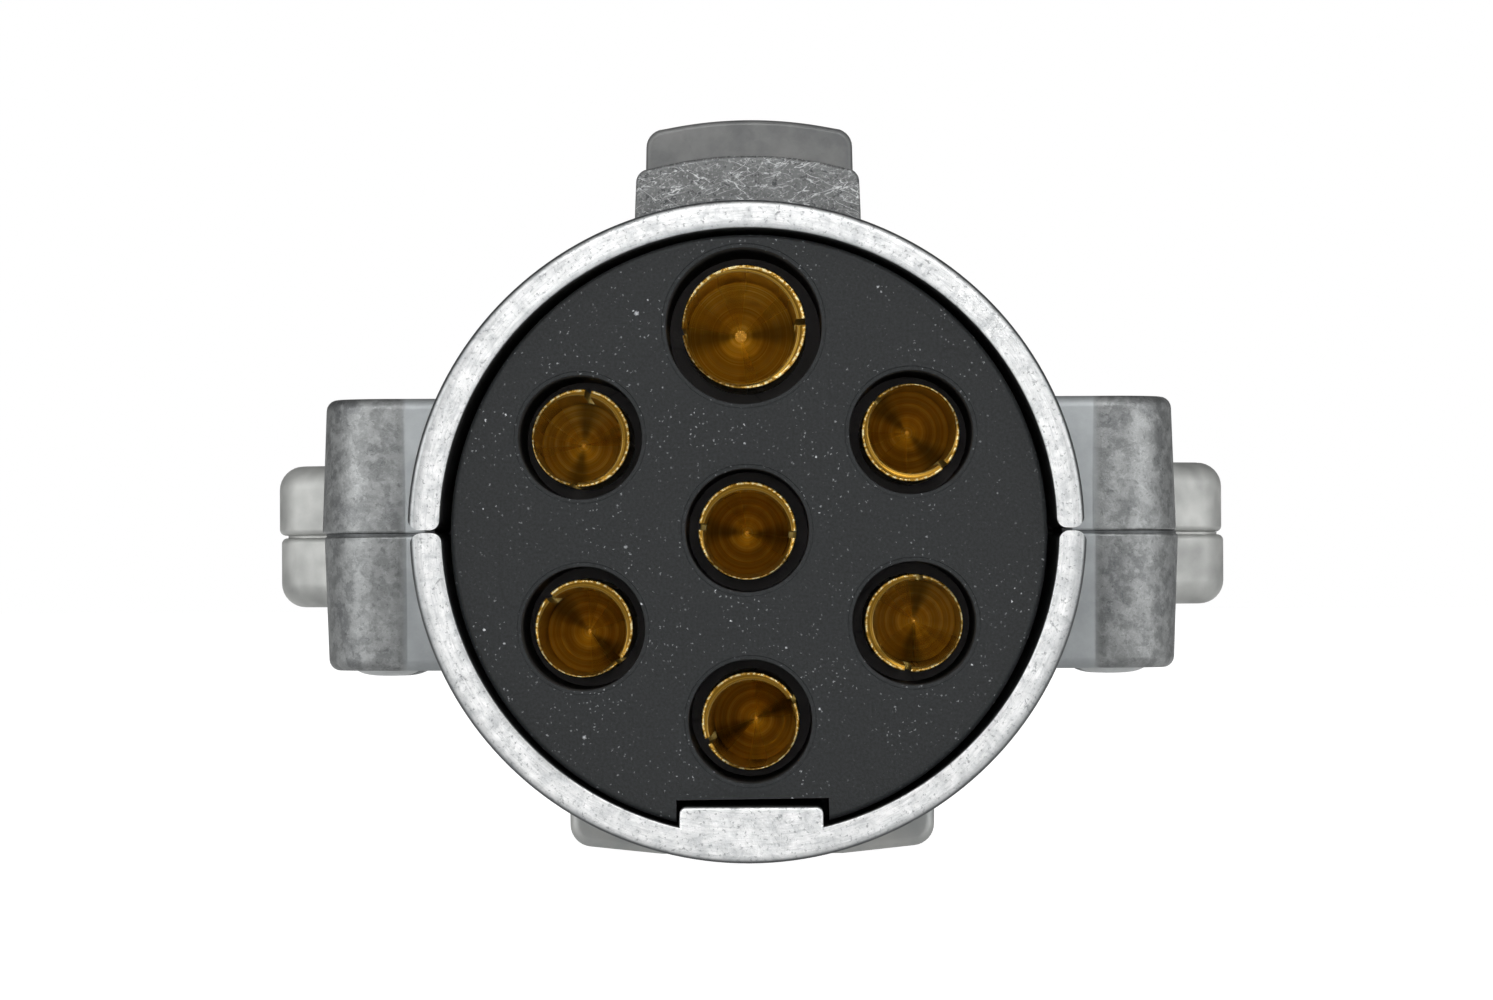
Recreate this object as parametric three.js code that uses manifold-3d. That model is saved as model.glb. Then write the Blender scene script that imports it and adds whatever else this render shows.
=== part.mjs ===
// Seven-way truck-to-trailer wiring plug: a split die-cast housing round a moulded contact carrier
// that holds seven split brass sockets. Millimetres, +Z up, mating face towards -Y.
//
// The plug is modelled about its own mating axis: the barrel's rim lies at y = 0, the cable leaves
// at the far end of +Y, and the housing parts at z = 0. The exported group then lifts it, so that
// the origin is at the middle of the underside and the plug stands on its thumb pad.
import * as THREE from "three";
import { mergeVertices } from "three/addons/utils/BufferGeometryUtils.js";
import Module from "manifold-3d";

const wasm = await Module();
wasm.setup();

// ---------------------------------------------------------------- driving dimensions

// Barrel, the round nose that enters the truck's receptacle
const BARREL_R = 22.2;
const BARREL_WALL = 1.7;
const BORE_R = BARREL_R - BARREL_WALL;
const BARREL_END = 58; // where the housing starts to taper
const RIM_ROUND = 0.45;
const PARTING_GAP = 0.2; // between the two halves of the housing
const SEAT = 0.25; // left between faces that bear on each other

// Neck and taper. The wiring chamber inside narrows along with the outside.
const CABLE_ROOM_R = 9.2; // clear radius of the neck round the grommet's collar
const NECK_R = CABLE_ROOM_R + 3.8;
const NECK_START = BARREL_END + 18;
const NECK_END = NECK_START + 10;
const CHAMBER_SLOPE = { start: BARREL_END - 1, end: NECK_START - 2.4 };

// Polarising key and latch lug on top of the barrel
const KEY = { width: 15, height: 2.75, front: 4, end: 30, round: 0.8, draft: 0.3 };
const LUG = { width: 14.5, height: 6.9, end: 39, round: 1, draft: 0.25 };

// Screw ears: webs that end in upright screw bosses
const BOSS_R = 5;
const FRONT_EAR = { x: BARREL_R + 3.75, y: 45, height: 9.8 };
const REAR_EAR = { x: NECK_R + 3.4, y: NECK_START + 4.6, height: 8 };
const EAR_DRAFT = 0.35; // how much narrower an ear is at its far end
const EAR_ROUND = 0.8;

// Pull wings at the sides of the taper, lined up by dowels
const WING = { height: 5.3, round: 1.8, root: BARREL_END - 4, slope: 9.5, tip: 6.5, taper: 7 };
const WING_SPAN = BARREL_R + 13.35;
const WING_TIP = WING.root + WING.slope;
const DOWEL = { x: WING_SPAN - 6.8, y: WING_TIP + 3, r: 1.4, length: 2.4, clearance: 0.35 };

// Thumb pad under the housing, which the plug stands on
const PAD = { width: 26.7, flat: 13, rise: 0.7, front: 42, length: 24, round: 1.1, draft: 0.25, grooves: 5 };
const PAD_DEPTH = BARREL_R + 0.9;
const PAD_GROOVE = { width: 1.1, depth: 0.5, pitch: 4 };

// Tail, the trough under the cable clamp
const TAIL = { length: 22, r: CABLE_ROOM_R + 3, bore: 8.2 };
const TAIL_END = NECK_END + TAIL.length;
const CLAMP = { x: TAIL.r + 1.4, y: NECK_END + 12, lugR: 4.4, lugThick: 3.6, length: 16,
  archR: TAIL.bore + 3.2 };
const CLAMP_REST = 0.5; // height of the closed clamp's feet above the parting plane
const TOOTH = { height: 1, width: 1.3, pitch: 6 };

// Contact carrier
const CARRIER_GAP = 0.6; // to the barrel's bore
const CARRIER_R = BORE_R - CARRIER_GAP;
const CARRIER_FRONT = 0.8; // its face lies this far behind the rim
const CARRIER_END = 28;
const CARRIER_EDGE = 0.4;
const CARRIER_TURN = THREE.MathUtils.degToRad(0.7); // the play that its keyway leaves
const SEAT_RIB = { front: CARRIER_END - 6, end: CARRIER_END - 3, inner: BORE_R - 1.4 };

// Retainer plate behind the carrier, and its screws
const RETAINER = { thick: 3, r: CARRIER_R - 0.7 };
const RETAINER_END = CARRIER_END + SEAT + RETAINER.thick;
const RETAINER_SCREW = { shankR: 1.3, headR: 2.3, headHeight: 1.8, slot: 0.7, slotDepth: 0.8, dome: 0.5 };
const RETAINER_SCREW_X = RETAINER.r - 2.7;
const RETAINER_REACH = 7; // of the screws into the carrier

// Key rib inside the lower half, which stops the carrier turning
const KEYWAY = { width: 9.55, top: BORE_R - 2.15, end: 19, shift: 0.45, clearance: 0.3, floor: 0.5 };

// Contacts: places round the axis, lengths, and the two sizes
const PIN_CIRCLE_R = 12.7;
const GROUND_R = PIN_CIRCLE_R + 0.9; // the ground contact sits a little further out
const CONTACT = {
  tip: 3, tubeEnd: 20, boreEnd: 19, slotEnd: 16, slot: 0.45, flange: 1.4,
  end: CARRIER_END + 14, wireDepth: 11, screwY: CARRIER_END + 9, cavityEnd: 17.5,
};
const DRILL_POINT = THREE.MathUtils.degToRad(59);
const CONTACT_FLOAT = 0.4; // room each way along the axis round a contact's flange
const FLANGE_END = CARRIER_END + SEAT - CONTACT_FLOAT;
const FLANGE_FRONT = FLANGE_END - CONTACT.flange;
const FIT = 0.2; // radial room round a contact
const contactSize = ({ tubeR, wall, cavityRoom, bodyR, flange, ...rest }) =>
  ({ tubeR, boreR: tubeR - wall, cavityR: tubeR + cavityRoom, bodyR, flangeR: bodyR + flange, ...rest });
const SMALL = contactSize({ tubeR: 3.28, wall: 0.43, cavityRoom: 0.84, bodyR: 3.75, flange: 0.95,
  wireR: 2.2, screwR: 1.95, screwLength: 4 });
const LARGE = contactSize({ tubeR: 4.15, wall: 0.47, cavityRoom: 1.05, bodyR: 4.45, flange: 0.75,
  wireR: 2.8, screwR: 2.35, screwLength: 3.3 });
const SET_SCREW = { clearance: 0.12, open: 0.08, slot: 0.7, slotDepth: 0.9 };

// Housing and clamp screws with their lock washers
const SCREW = { shankR: 1.95, headR: 3.1, headHeight: 2.4, slot: 1, slotDepth: 1.2, dome: 0.7 };
const WASHER = { r: SCREW.headR + 0.1, hole: SCREW.shankR + 0.25, thick: 1, split: 0.8 };
const SCREW_PROUD = 0.4; // of a head below its ear
const COUNTERBORE_R = WASHER.r + 0.35;
const CLEARANCE_HOLE_R = SCREW.shankR + 0.35;
const TAPPED_HOLE_R = SCREW.shankR + 0.15;
const EAR_ROOF = 2; // metal left above a blind tapped hole
const CLAMP_SCREW_REACH = 7.3; // into the tail

// Cable grommet, in a groove of the neck
const GROMMET = { r: CABLE_ROOM_R + 1.5, bore: 7, collarR: CABLE_ROOM_R - 0.4, front: NECK_START + 0.3,
  end: NECK_START + 7.7, collarEnd: NECK_END + 2.2 };
const GROMMET_ROOM = 0.3;

// Facets of the barrel, of the parts round the cable, of the contacts and of the screws
const ROUND = 44;
const CABLE_SIDES = 24;
const MEDIUM = 16;
const FINE = 12;

// ---------------------------------------------------------------- solids

// A closed geometry as a solid that can be cut and joined, with its faces pointing out.
function solid(geometry) {
  const bare = geometry.index ? geometry.toNonIndexed() : geometry;
  bare.deleteAttribute("normal");
  bare.deleteAttribute("uv");
  const merged = mergeVertices(bare, 1e-4);
  const index = merged.index.array;
  const kept = [];
  for (let i = 0; i < index.length; i += 3) {
    const [a, b, c] = index.slice(i, i + 3);
    if (a !== b && b !== c && a !== c) kept.push(a, b, c);
  }
  const build = (triangles) =>
    new wasm.Manifold(new wasm.Mesh({
      numProp: 3,
      vertProperties: merged.attributes.position.array,
      triVerts: new Uint32Array(triangles),
    }));
  const made = build(kept);
  return made.volume() > 0 ? made : build(kept.reverse());
}

function geometryOf(part) {
  const mesh = part.getMesh();
  const position = new Float32Array(mesh.numVert * 3);
  for (let i = 0; i < mesh.numVert; i++)
    position.set(mesh.vertProperties.subarray(i * mesh.numProp, i * mesh.numProp + 3), i * 3);
  const geometry = new THREE.BufferGeometry();
  geometry.setAttribute("position", new THREE.BufferAttribute(position, 3));
  geometry.setIndex(new THREE.BufferAttribute(mesh.triVerts, 1));
  const faceted = geometry.toNonIndexed();
  faceted.computeVertexNormals();
  return faceted;
}

const joined = (...parts) => parts.reduce((a, b) => a.add(b));
const cut = (part, ...tools) => tools.reduce((a, b) => a.subtract(b), part);

// A rod along Y or along Z between two stations.
function rodY(r, y0, y1, x = 0, z = 0, sides = FINE) {
  return solid(new THREE.CylinderGeometry(r, r, y1 - y0, sides).translate(x, (y0 + y1) / 2, z));
}

function rodZ(r, z0, z1, x = 0, y = 0, sides = FINE) {
  const rod = new THREE.CylinderGeometry(r, r, z1 - z0, sides).rotateX(Math.PI / 2);
  return solid(rod.translate(x, y, (z0 + z1) / 2));
}

function box(x0, x1, y0, y1, z0, z1) {
  const block = new THREE.BoxGeometry(x1 - x0, y1 - y0, z1 - z0);
  return solid(block.translate((x0 + x1) / 2, (y0 + y1) / 2, (z0 + z1) / 2));
}

// A body turned about the mating axis, from [radius, y] points.
function turned(points, sides = ROUND) {
  return solid(new THREE.LatheGeometry(points.map(([r, y]) => new THREE.Vector2(r, y)), sides));
}

// Outlines carried straight: a plan along Z, a front view along Y, a side view along X.
const EXTRUDE = { bevelEnabled: false, curveSegments: 3 };

function fromPlan(shape, z0, z1) {
  return solid(new THREE.ExtrudeGeometry(shape, { ...EXTRUDE, depth: z1 - z0 }).translate(0, 0, z0));
}

function fromFront(shape, y0, y1) {
  const made = new THREE.ExtrudeGeometry(shape, { ...EXTRUDE, depth: y1 - y0 });
  return solid(made.rotateX(Math.PI / 2).translate(0, y1, 0));
}

function fromSide(shape, x0, x1) {
  const made = new THREE.ExtrudeGeometry(shape, { ...EXTRUDE, depth: x1 - x0 });
  return solid(made.rotateY(Math.PI / 2).rotateX(Math.PI / 2).translate(x0, 0, 0));
}

// A polygon with every corner rounded by r.
function roundedPolygon(corners, r) {
  const shape = new THREE.Shape();
  const at = (i) => new THREE.Vector2(...corners[(i + corners.length) % corners.length]);
  corners.forEach((_, i) => {
    const [before, corner, after] = [at(i - 1), at(i), at(i + 1)];
    const into = corner.clone().sub(before).normalize();
    const out = after.clone().sub(corner).normalize();
    const half = Math.acos(THREE.MathUtils.clamp(into.dot(out), -1, 1)) / 2;
    const back = r * Math.tan(half);
    const start = corner.clone().addScaledVector(into, -back);
    const end = corner.clone().addScaledVector(out, back);
    if (i === 0) shape.moveTo(start.x, start.y);
    else shape.lineTo(start.x, start.y);
    shape.quadraticCurveTo(corner.x, corner.y, end.x, end.y);
  });
  shape.closePath();
  return shape;
}

const mirrored = (right) => [...right, ...right.map(([x, y]) => [-x, y]).reverse()];
const polygon = (points) => new THREE.Shape(points.map((point) => new THREE.Vector2(...point)));

// ---------------------------------------------------------------- housing

// The housing's outside without ears: rim, barrel, taper and neck.
function housingBody() {
  return turned([
    [0, 0], [BARREL_R - RIM_ROUND, 0], [BARREL_R - RIM_ROUND * 0.29, RIM_ROUND * 0.29],
    [BARREL_R, RIM_ROUND], [BARREL_R, BARREL_END], [NECK_R, NECK_START], [NECK_R, NECK_END],
    [0, NECK_END],
  ]);
}

// The space inside: bore, seat rib, wiring chamber, neck and grommet groove.
function housingCavity() {
  const grooveR = GROMMET.r + GROMMET_ROOM;
  const [grooveFront, grooveEnd] = [GROMMET.front - GROMMET_ROOM, GROMMET.end + GROMMET_ROOM];
  return turned([
    [0, -1], [BORE_R, -1], [BORE_R, SEAT_RIB.front], [SEAT_RIB.inner, SEAT_RIB.front],
    [SEAT_RIB.inner, SEAT_RIB.end], [BORE_R, SEAT_RIB.end], [BORE_R, CHAMBER_SLOPE.start],
    [CABLE_ROOM_R, CHAMBER_SLOPE.end], [CABLE_ROOM_R, grooveFront], [grooveR, grooveFront],
    [grooveR, grooveEnd], [CABLE_ROOM_R, grooveEnd], [CABLE_ROOM_R, NECK_END + 1], [0, NECK_END + 1],
  ]);
}

// A block on top of the barrel whose drafted sides meet a top that follows the barrel's curve.
function crown({ width, height, round, draft }, y0, y1) {
  const top = BARREL_R + height;
  const half = width / 2 - draft;
  const edge = Math.sqrt(top ** 2 - half ** 2);
  const shape = new THREE.Shape();
  shape.moveTo(width / 2, BARREL_R * 0.9);
  shape.lineTo(half, edge - round);
  const end = Math.asin((half - round) / top);
  shape.quadraticCurveTo(half, edge, top * Math.sin(end), top * Math.cos(end));
  shape.absarc(0, 0, top, Math.PI / 2 - end, Math.PI / 2 + end, false);
  shape.quadraticCurveTo(-half, edge, -half, edge - round);
  shape.lineTo(-width / 2, BARREL_R * 0.9);
  shape.closePath();
  return fromFront(shape, y0, y1);
}

// Both ears of a pair: a web across the housing that ends in round bosses, drafted towards
// its ends.
function earPair({ x, y, height }) {
  const plan = new THREE.Shape();
  plan.absarc(x, y, BOSS_R, -Math.PI / 2, Math.PI / 2, false);
  plan.absarc(-x, y, BOSS_R, Math.PI / 2, (3 * Math.PI) / 2, false);
  const reach = x + BOSS_R;
  const front = roundedPolygon([
    [reach, 0], [reach - EAR_DRAFT, height], [-reach + EAR_DRAFT, height], [-reach, 0],
    [-reach + EAR_DRAFT, -height], [reach - EAR_DRAFT, -height],
  ], EAR_ROUND);
  const upright = new THREE.ExtrudeGeometry(plan, { ...EXTRUDE, curveSegments: 8, depth: 2 * height });
  return solid(upright.translate(0, 0, -height)).intersect(fromFront(front, y - BOSS_R - 1, y + BOSS_R + 1));
}

function wings() {
  const { height, round, root, slope, tip, taper } = WING;
  const end = WING_TIP + tip;
  const plan = roundedPolygon(mirrored([
    [BORE_R * 0.5, root - 4], [BARREL_R - 1, root], [WING_SPAN, WING_TIP], [WING_SPAN, end],
    [NECK_R, end + taper], [CABLE_ROOM_R, end + taper],
  ]), 2);
  const view = roundedPolygon(
    [[WING_SPAN, -height], [WING_SPAN, height], [-WING_SPAN, height], [-WING_SPAN, -height]], round);
  return fromPlan(plan, -height, height).intersect(fromFront(view, root - 5, end + taper + 1));
}

// The thumb pad: a block with a sloped back, a flat along the middle of its underside that falls
// away to both sides, and finger grooves across it.
function thumbPad() {
  const { width, flat, rise, front, length, round, draft, grooves } = PAD;
  const end = front + length;
  const root = -NECK_R / 2;
  const view = roundedPolygon(mirrored([
    [flat / 2, -PAD_DEPTH], [width / 2 - draft, -PAD_DEPTH + rise], [width / 2, root],
  ]), round);
  const side = polygon([
    [front, root], [front, -PAD_DEPTH + 0.6], [front + 0.6, -PAD_DEPTH], [end, -PAD_DEPTH],
    [end + 7, -NECK_R + 1], [end + 7, root],
  ]);
  const block = fromFront(view, front, end + 8).intersect(fromSide(side, -width / 2, width / 2));
  const middle = front + length / 2;
  const cuts = Array.from({ length: grooves + 1 }, (_, i) => {
    const y = middle + (i - grooves / 2) * PAD_GROOVE.pitch;
    return box(-width, width, y - PAD_GROOVE.width / 2, y + PAD_GROOVE.width / 2,
      -PAD_DEPTH - 1, -PAD_DEPTH + PAD_GROOVE.depth);
  });
  return cut(block, ...cuts);
}

// The trough behind the neck, with its teeth and the clamp screws' bosses.
function tail() {
  const start = NECK_END - 1;
  const deep = -TAIL.r * 0.7;
  const trough = cut(rodY(TAIL.r, start, TAIL_END, 0, 0, CABLE_SIDES),
    rodY(TAIL.bore, start - 1, TAIL_END + 1, 0, 0, CABLE_SIDES),
    rodY(CABLE_ROOM_R, start - 1, GROMMET.collarEnd + GROMMET_ROOM, 0, 0, CABLE_SIDES));
  const teeth = [-1, 0, 1].map((i) => tooth(TAIL.bore, CLAMP.y - 1 + i * TOOTH.pitch));
  const bosses = [-1, 1].map((side) => {
    const [x0, x1] = [side * CLAMP.x, side * TAIL.bore * 1.1].sort((a, b) => a - b);
    return joined(rodZ(CLAMP.lugR, deep, 0, side * CLAMP.x, CLAMP.y, MEDIUM),
      box(x0, x1, CLAMP.y - CLAMP.lugR, CLAMP.y + CLAMP.lugR, deep, 0));
  });
  const holes = [-1, 1].map((side) => rodZ(TAPPED_HOLE_R, -TAIL.r, 1, side * CLAMP.x, CLAMP.y));
  return cut(joined(trough, ...teeth, ...bosses), ...holes);
}

// A gripping ring that stands out of a bore of radius r.
function tooth(r, y) {
  const [y0, y1] = [y - TOOTH.width / 2, y + TOOTH.width / 2];
  return cut(rodY(r + 0.5, y0, y1, 0, 0, CABLE_SIDES),
    rodY(r - TOOTH.height, y0 - 1, y1 + 1, 0, 0, CABLE_SIDES));
}

// Height of the washer's bearing face in an ear: the screw's head stands a little proud below it.
const headSeat = (height) => -height - SCREW_PROUD + SCREW.headHeight + SEAT + WASHER.thick;

// Screw holes of an ear pair: counterbore and clearance hole below, blind tapped hole above.
function earHoles({ x, y, height }) {
  const floor = headSeat(height) + SEAT;
  return [-1, 1].flatMap((side) => [
    rodZ(COUNTERBORE_R, -height - 1, floor, side * x, y, MEDIUM),
    rodZ(CLEARANCE_HOLE_R, -height, 0, side * x, y),
    rodZ(TAPPED_HOLE_R, -1, height - EAR_ROOF, side * x, y),
  ]);
}

function dowels(r, length) {
  return [-1, 1].map((side) => rodZ(r, -1, length, side * DOWEL.x, DOWEL.y));
}

const FAR = 200; // beyond every face of the plug
const aboveParting = () => box(-FAR, FAR, -FAR, FAR, PARTING_GAP / 2, FAR);
const belowParting = () => box(-FAR, FAR, -FAR, FAR, -FAR, -PARTING_GAP / 2);

function upperShell() {
  const outside = joined(
    housingBody(), earPair(FRONT_EAR), earPair(REAR_EAR), wings(),
    crown(KEY, KEY.front, KEY.end + 1), crown(LUG, KEY.end, LUG.end));
  const hollow = cut(outside, housingCavity(), ...earHoles(FRONT_EAR), ...earHoles(REAR_EAR),
    ...dowels(DOWEL.r + DOWEL.clearance, DOWEL.length + DOWEL.clearance));
  return hollow.intersect(aboveParting());
}

// The rib that keys the carrier, standing on the bottom of the bore.
function keyRib() {
  const half = KEYWAY.width / 2;
  return box(KEYWAY.shift - half, KEYWAY.shift + half, 0, KEYWAY.end, -BORE_R - 0.5, -KEYWAY.top);
}

function lowerShell() {
  const outside = joined(housingBody(), earPair(FRONT_EAR), earPair(REAR_EAR), wings(), thumbPad());
  const hollow = cut(outside, housingCavity(), ...earHoles(FRONT_EAR), ...earHoles(REAR_EAR));
  const half = joined(hollow, tail(), keyRib()).intersect(belowParting());
  return joined(half, ...dowels(DOWEL.r, DOWEL.length));
}

// ---------------------------------------------------------------- cable clamp and grommet

// The saddle over the cable: an arch with a lug at each side for its screw.
function cableClamp() {
  const { x, y, lugR, lugThick, length, archR } = CLAMP;
  const [z0, z1] = [CLAMP_REST, CLAMP_REST + lugThick];
  const [front, end] = [y - length / 2, y + length / 2];
  const arch = rodY(archR, front, end, 0, 0, CABLE_SIDES);
  const lugs = [-1, 1].map((side) => rodZ(lugR, z0, z1, side * x, y, MEDIUM));
  const bridge = box(-x, x, y - lugR, y + lugR, z0, z1);
  const body = cut(joined(arch, bridge, ...lugs), rodY(TAIL.bore, front - 1, end + 1, 0, 0, CABLE_SIDES));
  const teeth = [-1, 1].map((i) => tooth(TAIL.bore, y - 1 + (i * TOOTH.pitch) / 2));
  const holes = [-1, 1].flatMap((side) => [
    rodZ(CLEARANCE_HOLE_R, z0 - 1, z1 + 1, side * x, y),
    rodZ(COUNTERBORE_R, z1, z1 + archR, side * x, y, MEDIUM),
  ]);
  return cut(joined(body, ...teeth).intersect(box(-FAR, FAR, -FAR, FAR, z0, FAR)), ...holes);
}

function grommet() {
  const { r, bore, collarR, front, end, collarEnd } = GROMMET;
  return turned([
    [bore, front], [r, front], [r, end], [collarR, end], [collarR, collarEnd],
    [bore, collarEnd], [bore, front],
  ], CABLE_SIDES);
}

// ---------------------------------------------------------------- contacts and carrier

const STEP = Math.PI / 3; // between neighbours on the pin circle

// Where each contact sits, which way its set screw faces and how its front slot lies, as angles
// from +X towards +Z. The ground contact is at the top.
const CONTACTS = [
  { name: "ground", size: LARGE, r: GROUND_R, at: Math.PI / 2, slotAt: 0.07 },
  { name: "upper_right", size: SMALL, r: PIN_CIRCLE_R, at: STEP / 2, slotAt: -0.79 },
  { name: "lower_right", size: SMALL, r: PIN_CIRCLE_R, at: -STEP / 2, slotAt: 1.43 },
  { name: "bottom", size: SMALL, r: PIN_CIRCLE_R, at: -Math.PI / 2, slotAt: 0.43 },
  { name: "lower_left", size: SMALL, r: PIN_CIRCLE_R, at: Math.PI + STEP / 2, slotAt: 2.39 },
  { name: "upper_left", size: SMALL, r: PIN_CIRCLE_R, at: Math.PI - STEP / 2, slotAt: 1.4 },
  { name: "centre", size: SMALL, r: 0, at: 0, slotAt: -0.1 },
].map((c) => ({ ...c, x: c.r * Math.cos(c.at), z: c.r * Math.sin(c.at) }));

// A split socket: slotted front tube, flange, and a rear barrel with a blind wire hole and a
// cross hole for its set screw. It stands on its own axis.
function contactSolid(size, screwAt, slotAt) {
  const { tip, tubeEnd, boreEnd, slotEnd, slot, end, wireDepth, screwY } = CONTACT;
  const { tubeR, boreR, bodyR, flangeR, wireR, screwR } = size;
  const conePoint = boreEnd + boreR / Math.tan(DRILL_POINT);
  const body = turned([
    [0, conePoint], [boreR, boreEnd], [boreR, tip + 0.4], [boreR + 0.2, tip], [tubeR - 0.1, tip],
    [tubeR, tip + 0.2], [tubeR, tubeEnd], [bodyR, tubeEnd], [bodyR, FLANGE_FRONT],
    [flangeR, FLANGE_FRONT], [flangeR, FLANGE_END], [bodyR, FLANGE_END], [bodyR, end - 0.3],
    [bodyR - 0.3, end], [wireR, end], [wireR, end - wireDepth], [0, end - wireDepth],
  ], MEDIUM);
  const saw = new THREE.BoxGeometry(4 * bodyR, slotEnd - tip + 1, slot).rotateY(-slotAt);
  const holeR = screwR + SET_SCREW.clearance;
  const crossHole = new THREE.CylinderGeometry(holeR, holeR, 2 * bodyR, FINE)
    .translate(0, bodyR, 0).rotateZ(-Math.PI / 2).rotateY(-screwAt);
  return cut(body, solid(saw.translate(0, (tip + slotEnd - 1) / 2, 0)),
    solid(crossHole.translate(0, screwY, 0)));
}

// A slotted grub screw, backed out so that the wire hole is clear.
function setScrewSolid({ wireR, screwR, screwLength }, screwAt) {
  const inner = wireR + SET_SCREW.open;
  const outer = inner + screwLength;
  const rod = turned([
    [0, inner], [screwR - 0.5, inner], [screwR, inner + 0.5], [screwR, outer - 0.3],
    [screwR - 0.3, outer], [0, outer],
  ], FINE);
  const slot = box(-FAR, FAR, outer - SET_SCREW.slotDepth, FAR, -SET_SCREW.slot / 2, SET_SCREW.slot / 2);
  const made = geometryOf(cut(rod, slot)).rotateZ(-Math.PI / 2).rotateY(-screwAt);
  return solid(made.translate(0, CONTACT.screwY, 0));
}

// The moulded body: a front cavity, a bearing bore and a flange pocket for each contact.
function contactCarrier() {
  const [grooveR, grooveFront, grooveEnd] =
    [SEAT_RIB.inner - SEAT, SEAT_RIB.front - SEAT, SEAT_RIB.end + SEAT];
  const body = turned([
    [0, CARRIER_FRONT], [CARRIER_R - CARRIER_EDGE, CARRIER_FRONT],
    [CARRIER_R, CARRIER_FRONT + CARRIER_EDGE], [CARRIER_R, grooveFront], [grooveR, grooveFront],
    [grooveR, grooveEnd], [CARRIER_R, grooveEnd], [CARRIER_R, CARRIER_END], [0, CARRIER_END],
  ]);
  const bores = CONTACTS.flatMap(({ size, x, z }) => [
    rodY(size.cavityR, CARRIER_FRONT - 1, CONTACT.cavityEnd, x, z, MEDIUM),
    rodY(size.tubeR + FIT, CARRIER_FRONT, CARRIER_END, x, z, MEDIUM),
    rodY(size.bodyR + FIT, CONTACT.tubeEnd - CONTACT_FLOAT, CARRIER_END + 1, x, z, MEDIUM),
    rodY(size.flangeR + FIT, FLANGE_FRONT - CONTACT_FLOAT, CARRIER_END + 1, x, z, MEDIUM),
  ]);
  const half = KEYWAY.width / 2 + KEYWAY.clearance;
  const middle = KEYWAY.shift - KEYWAY.top * Math.sin(CARRIER_TURN);
  const keyway = box(middle - half, middle + half, CARRIER_FRONT - 1, SEAT_RIB.front,
    -BARREL_R, -KEYWAY.top + KEYWAY.floor);
  const pilots = retainerScrewHoles(RETAINER_SCREW.shankR + 0.1, CARRIER_END - RETAINER_REACH - 1,
    CARRIER_END + 1);
  return cut(body, ...bores, keyway, ...pilots);
}

function retainerScrewHoles(r, y0, y1) {
  return [-1, 1].map((side) => rodY(r, y0, y1, side * RETAINER_SCREW_X, 0));
}

// The plate behind the carrier that keeps the contacts' flanges in their pockets.
function terminalRetainer() {
  const [y0, y1] = [CARRIER_END + SEAT, RETAINER_END];
  const holes = CONTACTS.map(({ size, x, z }) => rodY(size.bodyR + FIT, y0 - 1, y1 + 1, x, z, MEDIUM));
  return cut(rodY(RETAINER.r, y0, y1, 0, 0, ROUND), ...holes,
    ...retainerScrewHoles(RETAINER_SCREW.shankR + 0.2, y0 - 1, y1 + 1));
}

// A slotted pan-head screw along +Y with its head's bearing face at y = 0 and its head at +Y.
function panScrew({ shankR, headR, headHeight, slot, slotDepth, dome }, length) {
  const body = turned([
    [0, -length], [shankR - 0.4, -length], [shankR, -length + 0.5], [shankR, 0], [headR, 0],
    [headR, headHeight - dome], [headR - dome, headHeight], [0, headHeight],
  ], FINE);
  return cut(body, box(-headR * 2, headR * 2, headHeight - slotDepth, headHeight + 1, -slot / 2, slot / 2));
}

// A split lock washer round the Y axis, its bearing face at y = 0.
function lockWasher() {
  const ring = turned([
    [WASHER.hole, 0], [WASHER.r, 0], [WASHER.r, WASHER.thick], [WASHER.hole, WASHER.thick],
    [WASHER.hole, 0],
  ], FINE);
  return cut(ring, box(0, 2 * WASHER.r, -1, WASHER.thick + 1, -WASHER.split / 2, WASHER.split / 2));
}

// ---------------------------------------------------------------- assembly

const MATERIALS = {
  casting: new THREE.MeshStandardMaterial({ color: "#a9abac", roughness: 0.5, metalness: 1 }),
  nylon: new THREE.MeshStandardMaterial({ color: "#26282a", roughness: 0.6, metalness: 0 }),
  brass: new THREE.MeshStandardMaterial({ color: "#b98a3a", roughness: 0.25, metalness: 1 }),
  steel: new THREE.MeshStandardMaterial({ color: "#b9bab7", roughness: 0.3, metalness: 1 }),
  rubber: new THREE.MeshStandardMaterial({ color: "#1c1c1d", roughness: 0.85, metalness: 0 }),
};

const plug = new THREE.Group();

// Adds a solid as a named piece to a group, and returns its mesh so that it can be placed.
function piece(name, part, material, group = plug) {
  const mesh = new THREE.Mesh(geometryOf(part), MATERIALS[material]);
  mesh.name = name;
  group.add(mesh);
  return mesh;
}

piece("upper_shell", upperShell(), "casting");
piece("lower_shell", lowerShell(), "casting");
piece("cable_clamp", cableClamp(), "casting");
piece("cable_grommet", grommet(), "rubber");

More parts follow.
